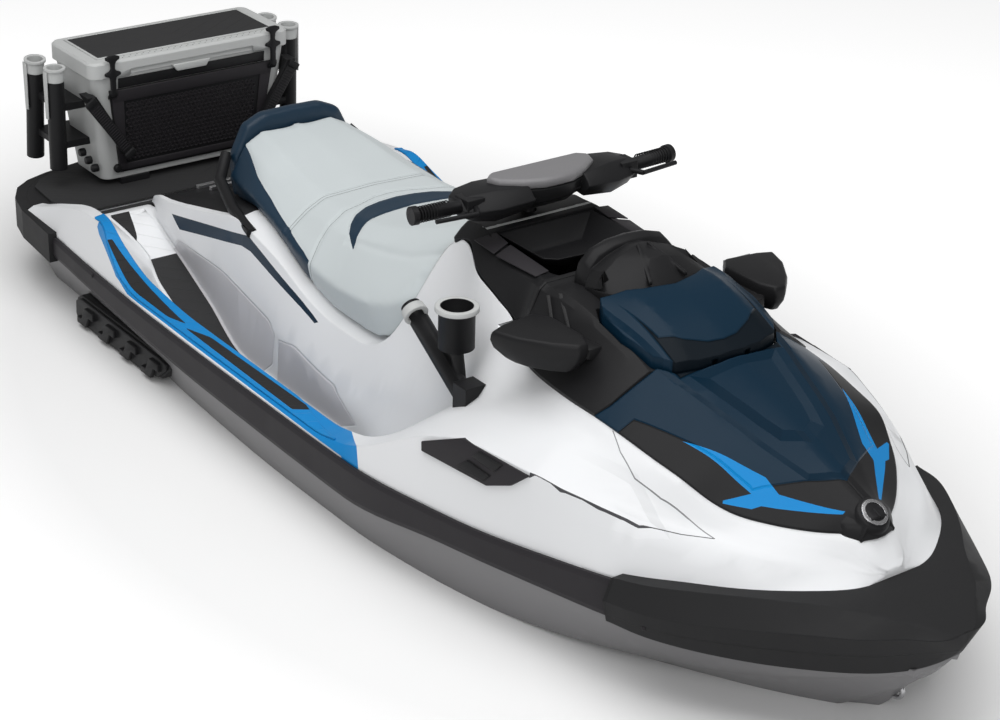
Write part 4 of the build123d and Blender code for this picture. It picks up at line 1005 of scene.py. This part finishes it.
# %% lid rule, tab and lip
dimple = turned("dimple", ORIGIN, (0, 0, 1), [(0.0, 0.0006), (0.0022, 0.0006), (0.0028, 0.0)], 8)
rule = repeated("lid_rule", dimple, "trim_black", place(0.300, -0.27, 0.9318), (0, 0.0225, 0), 25,
                (0.012, 0, 0), 2, 0.5)
settle(rule, "cooler_lid", "trim_black")
tab = prism("lid_tab", [(0.326, -0.075, 0.886), (0.326, 0.06, 0.886), (0.326, 0.045, 0.864),
                        (0.326, -0.058, 0.864)], (0.0095, 0, 0))
settle(tab, "cooler_lid", "cooler_gray")
RIM_BARS = [(0.062, 0.071, -0.316, 0.316), (0.285, 0.294, -0.316, 0.316), (0.071, 0.285, -0.316, -0.307),
            (0.071, 0.285, 0.307, 0.316)]
well = [prism("rim", [(x, y, 0.9315) for x, y in rectangle(*bar)], (0, 0, 0.0045), 0.0015)
        for bar in RIM_BARS]
settle(joined("lid_well", well), "cooler_lid", "cooler_gray")

# %% [markdown]
# The rod holders are black tubes with pale liners. A liner stands a little above its tube, and a flat flange
# runs down the tube's outer side; a cross pin inside keeps a rod's butt from turning.


# %% rod holder liners
LINER = [(0.0215, 0.02), (0.0285, 0.02), (0.0295, 0.052), (0.0345, 0.057), (0.0345, 0.064), (0.0245, 0.064),
         (0.0215, 0.02)]
FLANGE = [(-0.012, 0.055), (0.012, 0.055), (0.009, -0.100), (-0.009, -0.100)]


def liner(x, z, lean, side):
    up = Vector((lean, 0, 1)).normalized()
    foot = place(x, side * 0.421, z) + up * 0.112
    cup = turned("liner", foot, up, LINER, 24)
    out = Vector((0, side * 0.0305, 0))
    flange = prism("flange", [foot + out + Vector((along, 0, high)) for along, high in FLANGE],
                   (0, side * 0.004, 0), 0.0015)
    pin = rod("pin", [foot + up * 0.045 + Vector((0, end, 0)) for end in (-0.024, 0.024)], (0.003, 0.003), 8)
    return [cup, flange, pin]


liners = [piece for x, z, lean in ((0.0545, 0.719, 0.1164), (0.2085, 0.729, 0.0285)) for side in (-1, 1)
          for piece in liner(x, z, lean, side)]
settle(joined("rod_holder_liners", liners), "craft", "cooler_gray")

# %% screw knobs
knob = turned("knob", ORIGIN, (1, 0, 0), [(0.0, 0.014), (0.010, 0.013), (0.014, 0.008), (0.014, 0.0),
                                          (0.0, 0.0)], 12)
knobs = repeated("cooler_knobs", knob, "trim_black", place(0.292, -0.262, 0.566), (0, 0.524, 0), 2)
settle(knobs, "craft", "trim_black")

# %% carrying straps
DOWN, WIDE = Vector((0, 0.562, -0.828)), Vector((0, 0.828, 0.562))
strap_top = place(0.334, -0.368, 0.818)


def strap_piece(name, top, bottom, half_top, half_bottom, thick, bevel):
    """A length of strap between two points, as wide as given at each end."""
    return prism(name, [top - WIDE * half_top, top + WIDE * half_top, bottom + WIDE * half_bottom,
                        bottom - WIDE * half_bottom], (thick, 0, 0), bevel)


strap = [strap_piece("strap", strap_top, strap_top + DOWN * 0.235, 0.019, 0.016, 0.006, 0.002)]
for along in (-0.004, 0.222):
    at = strap_top + DOWN * along
    strap.append(strap_piece("end", at, at + DOWN * 0.022, 0.020, 0.020, 0.011, 0.004))
settle(both_sides("strap_bands", strap), "craft", "trim_black")
rib = strap_piece("rib", ORIGIN, DOWN * 0.003, 0.015, 0.015, 0.0018, 0.0006)
ribs = repeated("strap_ribs", rib, "rail_gray", strap_top + DOWN * 0.030 + Vector((0.0055, 0, 0)),
                DOWN * 0.0088, 21)
settle(both_sides("strap_ribs", [ribs]), "craft", "rail_gray")
clamp = turned("clamp", ORIGIN, (0, -1, 0), [(0.0, 0.020), (0.011, 0.019), (0.013, 0.014), (0.013, 0.0),
                                             (0.0, 0.0)], 16)
clamps = repeated("strap_knobs", clamp, "trim_black", place(0.205, -0.330, 0.606), (0.030, 0.006, -0.018), 3)
settle(both_sides("strap_knobs", [clamps]), "craft", "trim_black")

# %% [markdown]
# ## The steering bar
# A gray padded cover sits on the middle of the bar between two black wings, and a tapered shroud hides the
# column. Everything here turns with the bar, so all of it rides on the steering body.


# %% bar cover
def level_ring(z, outline):
    """Both sides of a half outline of (x, distance out) points, at one height."""
    return [(x, y, z) for x, y in outline] + [(x, -y, z) for x, y in reversed(outline)]


def side_ring(y, corners):
    return [(x, y, z) for x, z in corners]


pad = [(2.112, 0.02), (2.112, 0.140), (2.134, 0.163), (2.168, 0.152), (2.204, 0.100), (2.226, 0.045),
       (2.228, 0.01)]
slim = [(2.112 + (x - 2.106) * 0.86, y * 0.94) for x, y in pad]
cover = loft("bar_pad", [level_ring(1.103, pad), level_ring(1.121, pad), level_ring(1.1285, slim)], 0.004)
settle(cover, "steering", "hull_gray")
wing = loft("bar_wings", [
    side_ring(-0.085, [(2.112, 1.060), (2.108, 1.110), (2.215, 1.112), (2.243, 1.085), (2.215, 1.050)]),
    side_ring(-0.185, [(2.100, 1.050), (2.100, 1.110), (2.195, 1.116), (2.240, 1.080), (2.205, 1.035)]),
    side_ring(-0.245, [(2.105, 1.055), (2.108, 1.106), (2.180, 1.110), (2.222, 1.078), (2.195, 1.045)]),
    side_ring(-0.278, [(2.130, 1.066), (2.132, 1.100), (2.175, 1.102), (2.200, 1.080), (2.180, 1.060)])],
    0.004)
shroud = loft("column_shroud", [level_ring(1.075, [(2.095, 0.10), (2.15, 0.125), (2.215, 0.08)]),
                                level_ring(1.035, [(2.085, 0.07), (2.13, 0.085), (2.180, 0.06)]),
                                level_ring(1.010, [(2.066, 0.040), (2.10, 0.050), (2.134, 0.035)])], 0.004)
column = rod("column", [(2.114, 0, 0.934), (2.075, 0, 1.055)], (0.018, 0.018))
tube = rod("bar_tube", [(2.163, -0.29, 1.083), (2.155, -0.15, 1.080), (2.155, 0.15, 1.080),
                        (2.163, 0.29, 1.083)], (0.013,) * 4)
under = loft("pad_base", [level_ring(1.060, slim), level_ring(1.101, pad)], 0.004)
wings = joined("bar_wings", [wing, mirrored(wing, "port_wing"), shroud, column, tube, under])
settle(wings, "steering", "trim_black", "handlebar")

# %% grip ribs
RIB = [(0.0185, -0.002), (0.0212, -0.0008), (0.0212, 0.0008), (0.0185, 0.002), (0.0185, -0.002)]
for side, name in ((-1, "grip_ribs"), (1, "grip_ribs_port")):
    rib = turned("rib", ORIGIN, (0, 1, 0.02), RIB, 16)
    ribs = repeated(name, rib, "trim_black", place(2.1675, side * 0.305, 1.0845),
                    (0, side * 0.0085, 0.0002), 11)
    settle(ribs, "steering", "trim_black")

# %% [markdown]
# ## Console, gauges and mirrors
# The console's well holds a dished tray with sloping walls. A pale strip edges it at the back, and two slots
# are let into its forward slope. The gauge hood is faceted, with fins at the top, and its screen faces the
# rider under an arch.


# %% console
dish = mesh_object("console_tray", *skin([
    level_ring(0.983, [(2.172, 0.05), (2.172, 0.149), (2.36, 0.149), (2.385, 0.12), (2.392, 0.05)]),
    level_ring(0.976, [(2.176, 0.05), (2.176, 0.143), (2.355, 0.143), (2.378, 0.115), (2.385, 0.05)]),
    level_ring(0.936, [(2.200, 0.04), (2.200, 0.105), (2.300, 0.105), (2.335, 0.07), (2.340, 0.04)]),
    level_ring(0.926, [(2.214, 0.04), (2.214, 0.088), (2.290, 0.088), (2.318, 0.055), (2.322, 0.04)])],
    capped=False))
dish.modifiers.new("thick", "SOLIDIFY").thickness = 0.003
ease = dish.modifiers.new("ease", "BEVEL")
ease.width, ease.segments = 0.003, 2
dish = baked(dish, "console_tray")
smooth(dish.data)
settle(dish, "craft", "trim_black")
STRIP = [(2.128, 0.05), (2.128, 0.168), (2.150, 0.168), (2.150, 0.05)]
strip = prism("console_strip", level_ring(0.9885, STRIP), (0, 0, 0.0035), 0.001)
settle(strip, "craft", "cooler_gray")

# %% gauge hood
CONSOLE_TOP = 0.946


def gauge_ring(y, rear, front, top):
    low, rise = CONSOLE_TOP, top - CONSOLE_TOP
    return side_ring(y, [(rear, low), (rear, low + rise * 0.55), (rear + 0.018, top - 0.012),
                         (rear + 0.07, top), (front - 0.065, top - 0.014), (front - 0.008, low + 0.042),
                         (front, low)])


def arch_ring(y, top):
    return side_ring(y, [(2.474, CONSOLE_TOP), (2.478, top - 0.008), (2.500, top), (2.522, top - 0.010),
                         (2.528, CONSOLE_TOP)])


def across(make_ring, rows):
    """Rings from starboard rows of (y, ...) and from the same rows on the port side."""
    port = [(-y, *rest) for y, *rest in reversed(rows) if y]
    return [make_ring(*row) for row in rows + port]


HUMP = [(-0.150, 2.530, 2.630, 0.990), (-0.128, 2.505, 2.655, 1.022), (-0.080, 2.492, 2.674, 1.043),
        (-0.02, 2.486, 2.679, 1.060)]
ARCH = [(-0.142, 0.985), (-0.132, 1.022), (-0.104, 1.050), (-0.056, 1.064), (0.0, 1.068)]
hump = loft("gauge_hood", across(gauge_ring, HUMP), 0.004)
fin = prism("fin", [(2.560, -0.020, 1.056), (2.662, -0.060, 1.002), (2.664, -0.050, 1.002),
                    (2.562, -0.010, 1.057)], (0, 0, 0.010))
arch = loft("arch", across(arch_ring, ARCH), 0.004)
settle(joined("gauge_hood", [hump, fin, mirrored(fin, "fin_port"), arch]), "craft", "trim_black", "gauge_pod")
screen = prism("gauge_screen", [(2.4725, -0.10, 0.972), (2.4725, 0.10, 0.972), (2.4765, 0.08, 1.040),
                                (2.4765, -0.08, 1.040)], (0.003, 0, 0), 0.001)
settle(screen, "craft", "mirror")

# %% [markdown]
# A mirror housing is a wedge: a wide flat top, pointed outboard and swept back, over a front face that turns
# under. It is lofted from six level rings. The glass is a flat plate on the side that faces the rider.


# %% mirrors
HOUSING = [(2.548, -0.449), (2.530, -0.405), (2.517, -0.305), (2.560, -0.272), (2.690, -0.272),
           (2.734, -0.292), (2.738, -0.322), (2.690, -0.372), (2.615, -0.425)]


def housing_ring(z, grow, low=0.0):
    middle = Vector((2.645 + low, -0.330 - low, 0))
    return [place(0, 0, z) + middle + (Vector((x, y, 0)) - middle) * grow for x, y in HOUSING]


housing = loft("mirror_housing", [housing_ring(*row) for row in (
    (0.860, 0.55, 0.015), (0.870, 0.74), (0.895, 0.93), (0.915, 0.985), (0.932, 0.97), (0.940, 0.90))], 0.008)
arm = prism("mirror_arm", [(2.60, -0.345, 0.880), (2.715, -0.275, 0.880), (2.715, -0.235, 0.880),
                           (2.58, -0.255, 0.880)], (0, 0, 0.030), 0.006)
glass = prism("mirror_glass", [(2.5155, -0.398, 0.880), (2.5125, -0.312, 0.880), (2.5125, -0.312, 0.928),
                               (2.5155, -0.398, 0.928)], (0.010, 0, 0), 0.0008)
port = [mirrored(piece, piece.name + "_port") for piece in (housing, arm, glass)]
for node, (*pieces, pane) in (("mirror_left", port), ("mirror_right", (housing, arm, glass))):
    settle(joined(node + "_housing", pieces), "craft", "trim_black", node)
    pane.name = node + "_glass"
    settle(pane, "craft", "mirror")

# %% panels and slots
panels = [prism("panel", corners, (0, 0, 0.003), 0.001) for corners in (
    [(2.175, -0.158, 0.9875), (2.230, -0.160, 0.9795), (2.245, -0.215, 0.968), (2.160, -0.215, 0.975)],
    [(2.240, -0.160, 0.9780), (2.400, -0.160, 0.9660), (2.400, -0.200, 0.960), (2.252, -0.215, 0.966)])]
settle(both_sides("console_panels", panels), "craft", "rail_gray")
slits = [prism("slit", corners, (0, -0.003, 0.003), 0.0005) for corners in (
    [(2.484, -0.228, 0.950), (2.569, -0.271, 0.886), (2.578, -0.270, 0.888), (2.494, -0.226, 0.952)],
    [(2.510, -0.212, 0.960), (2.612, -0.256, 0.903), (2.620, -0.254, 0.905), (2.520, -0.208, 0.962)])]
settle(both_sides("surround_slits", slits), "craft", "mat_black")

# %% [markdown]
# ## Nose and cup
# The medallion at the nose is a plain ring on a black dome. The cup and the rod tube have pale rims.


# %% nose medallion
NOSE_PLACE, NOSE_AXIS = place(3.383, 0, 0.680), (0.55, 0, 0.835)
DOME = [(0.0, 0.046), (0.028, 0.045), (0.040, 0.040), (0.046, 0.028), (0.048, 0.0), (0.0, 0.0)]
dome = turned("nose_dome", NOSE_PLACE, NOSE_AXIS, DOME, 40, 0.002)
skirt = loft("nose_skirt", [
    level_ring(0.664, [(3.34, 0.090), (3.392, 0.080), (3.428, 0.046), (3.437, 0.012)]),
    level_ring(0.696, [(3.34, 0.084), (3.386, 0.072), (3.414, 0.043), (3.422, 0.012)]),
    level_ring(0.712, [(3.34, 0.060), (3.375, 0.052), (3.392, 0.034), (3.398, 0.010)])], 0.006)
settle(joined("nose_dome", [dome, skirt]), "craft", "trim_black", "nose_trim")
ring = turned("nose_ring", NOSE_PLACE, NOSE_AXIS, [(0.024, 0.044), (0.0245, 0.0475), (0.033, 0.0465),
                                                   (0.034, 0.043), (0.024, 0.044)], 40)
settle(ring, "craft", "steel", "nose_badge")

# %% rims of the cup and the rod tube
rims = [turned("rim", place(2.33, -0.385, 0.9035), (0, 0, 1), [(0.0415, -0.012), (0.0415, 0.0), (0.055, 0.0),
                                                               (0.056, -0.012), (0.0415, -0.012)], 40, 0.001)]
tube_axis = Vector((-0.279, 0.026, 0.133)).normalized()
mouth = place(2.161, -0.401, 0.833) - tube_axis * 0.004
rims.append(turned("rim", mouth, tube_axis, [(0.022, -0.02), (0.021, 0.004), (0.031, 0.004), (0.033, -0.02),
                                             (0.022, -0.02)], 32, 0.001))
settle(joined("cup_rims", rims), "craft", "cooler_gray")
inner = turned("cup_floor", place(2.33, -0.385, 0.85), (0, 0, 1),
               [(0.0, 0.0), (0.030, 0.0), (0.030, 0.002), (0.0, 0.002)], 24)
settle(inner, "craft", "cooler_gray")

# %% grab handle
grab = smooth_copy("grab_handle")
move_to(grab, [v.co + v.normal * 0.0045 for v in grab.data.vertices])
settle(grab, "seat", "trim_black", "grab_handle")

# %% [markdown]
# ## Sponsons, screws and cleats
# A sponson is a rounded black wing on each side of the hull near the stern, with four hooked blocks along it
# that show as dark steps. Screws hold the bumpers on. A cleat is a dark plate with two slots in it, whose
# shade is painted: each slot is a near-black plate laid on the cleat.


# %% sponsons
WING = [(0.625, 0.275), (0.634, 0.258), (0.70, 0.248), (1.05, 0.248), (1.16, 0.268), (1.213, 0.318),
        (1.213, 0.338), (1.17, 0.344), (0.66, 0.344), (0.628, 0.325)]
HOOK = [(0, 0.262), (0.055, 0.262), (0.075, 0.300), (0.105, 0.300), (0.105, 0.325), (0.05, 0.325),
        (0.028, 0.283), (0, 0.283)]
slim = [(0.92 + (x - 0.92) * 0.965, 0.297 + (z - 0.297) * 0.86) for x, z in WING]
sponson = [prism("sponson", side_ring(-0.520, WING), (0, -0.066, 0), 0.006),
           prism("skirt", side_ring(-0.586, slim), (0, -0.010, 0), 0.004)]
for i in range(4):
    outline = [(0.665 + i * 0.135 + x, z) for x, z in HOOK]
    sponson.append(prism("hook", side_ring(-0.594, outline), (0, -0.014, 0), 0.003))
settle(both_sides("sponson_wings", sponson), "craft", "trim_black", "sponsons")

# %% screws and cleats
SCREW = [(0.0, 0.0022), (0.0022, 0.0022), (0.0026, 0.0012), (0.0030, 0.0024), (0.0052, 0.0018), (0.0062, 0.0),
         (0.0, 0.0)]
screws = []
for spot, turn, axis in ((place(3.189, -0.4685, 0.461), 0.32, "Z"),
                         (place(0.803, -0.6165, 0.468), -0.35, "X")):
    screw = turned("screw", ORIGIN, (0, -1, 0), SCREW, 14)
    screw.data.transform(Matrix.Translation(spot) @ Matrix.Rotation(turn, 4, axis))
    screws.append(screw)
settle(both_sides("bumper_screws", screws), "craft", "rail_gray")
CLEAT = [(2.436, -0.553, 0.623), (2.566, -0.529, 0.682), (2.802, -0.506, 0.680), (2.750, -0.519, 0.635),
         (2.676, -0.533, 0.605), (2.444, -0.558, 0.601)]
SLOTS = [[(2.621, -0.532, 0.663), (2.639, -0.526, 0.682), (2.721, -0.518, 0.680), (2.701, -0.524, 0.656)],
         [(2.576, -0.545, 0.618), (2.606, -0.536, 0.647), (2.689, -0.528, 0.639), (2.671, -0.534, 0.620)]]
plate = prism("cleat", [(x, y + 0.010, z) for x, y, z in CLEAT], (0.002, -0.019, 0.005), 0.003)
# painted shade: the slots are near-black plates laid on the cleat, standing for the shade inside its open
# slots
slots = joined("slots", [prism("slot", [(x, y - 0.0065, z) for x, y, z in slot], (0.0, -0.0042, 0.0), 0.0004)
                         for slot in SLOTS])
for node, shape, dark in (("cleat_left", mirrored(plate, "plate_port"), mirrored(slots, "slots_port")),
                          ("cleat_right", plate, slots)):
    shape.name, dark.name = node + "_plate", node + "_slots"
    settle(shape, "craft", "rail_gray", node)
    settle(dark, "craft", "trim_black")

# %% [markdown]
# The saddle's seams are sewn with stitches a few millimetres long. Each seam's path is let down onto the
# cushion, and a second Geometry Nodes tree lays a stitch every eight millimetres along it.


# %% stitches
STITCH_SPACING, STITCH_LIFT, PATH_STEPS = 0.008, 0.0002, 24


def sewn_tree():
    tree, names, inputs = begin_tree("sewn", {"Spacing": "Float"})
    path = inputs["Geometry"]
    curve = path.node("GeometryNodeMeshToCurve", {}, {"Mesh": path})
    points = curve.node("GeometryNodeCurveToPoints", {"mode": "LENGTH"},
                        {"Curve": curve, "Length": inputs["Spacing"]})
    end_tree(tree, inputs, points, Rotation=points.other("Rotation"))
    return tree, names


def across_saddle(line, shift, reach):
    """A path over the cushion, along a line of (distance out, length) points moved by a shift."""
    path = []
    for y in (reach * k / PATH_STEPS for k in range(-PATH_STEPS, PATH_STEPS + 1)):
        above = place(line_at(line, abs(y)) + shift, y, 1.3)
        spot, normal, *_ = cushion_tree.ray_cast(above, Vector((0, 0, -1)))
        if spot:
            path.append(spot + normal * STITCH_LIFT)
    return path


cushion_tree = BVHTree.FromPolygons([v.co for v in cushion.data.vertices],
                                    [f.vertices for f in cushion.data.polygons])
REAR_LINE = [(0.0, REAR_SEAM), (1.0, REAR_SEAM)]
vertices, edges = [], []
for seam in ((REAR_LINE, -0.011, 0.22), (REAR_LINE, 0.011, 0.22), (CROSS_SEAM, -0.006, 0.25),
             (ARC_REAR, -0.006, 0.22), (ARC_FRONT, 0.006, 0.22)):
    path = across_saddle(*seam)
    edges += [(len(vertices) + i, len(vertices) + i + 1) for i in range(len(path) - 1)]
    vertices += path
stitch = rod("stitch", [Vector((0, 0, z)) for z in (-0.0024, -0.0016, 0.0016, 0.0024)],
             (0.0002, 0.00055, 0.00055, 0.0002), 8)
stitches = run_tree(mesh_object("saddle_stitches", vertices, [], edges), sewn_tree(), stitch, "seat_gray",
                    Spacing=STITCH_SPACING)
settle(stitches, "seat", "seat_gray")

# %% [markdown]
# ## The rest
# Every node that no detailed piece stands for gets its smooth shell.
# %% remaining shells
plain = [node for node in NODES if node not in REPLACED]
for node in plain:
    settle(smooth_copy(node), BODY[node], SLOT[node], node)
print("plain shells:", len(plain))
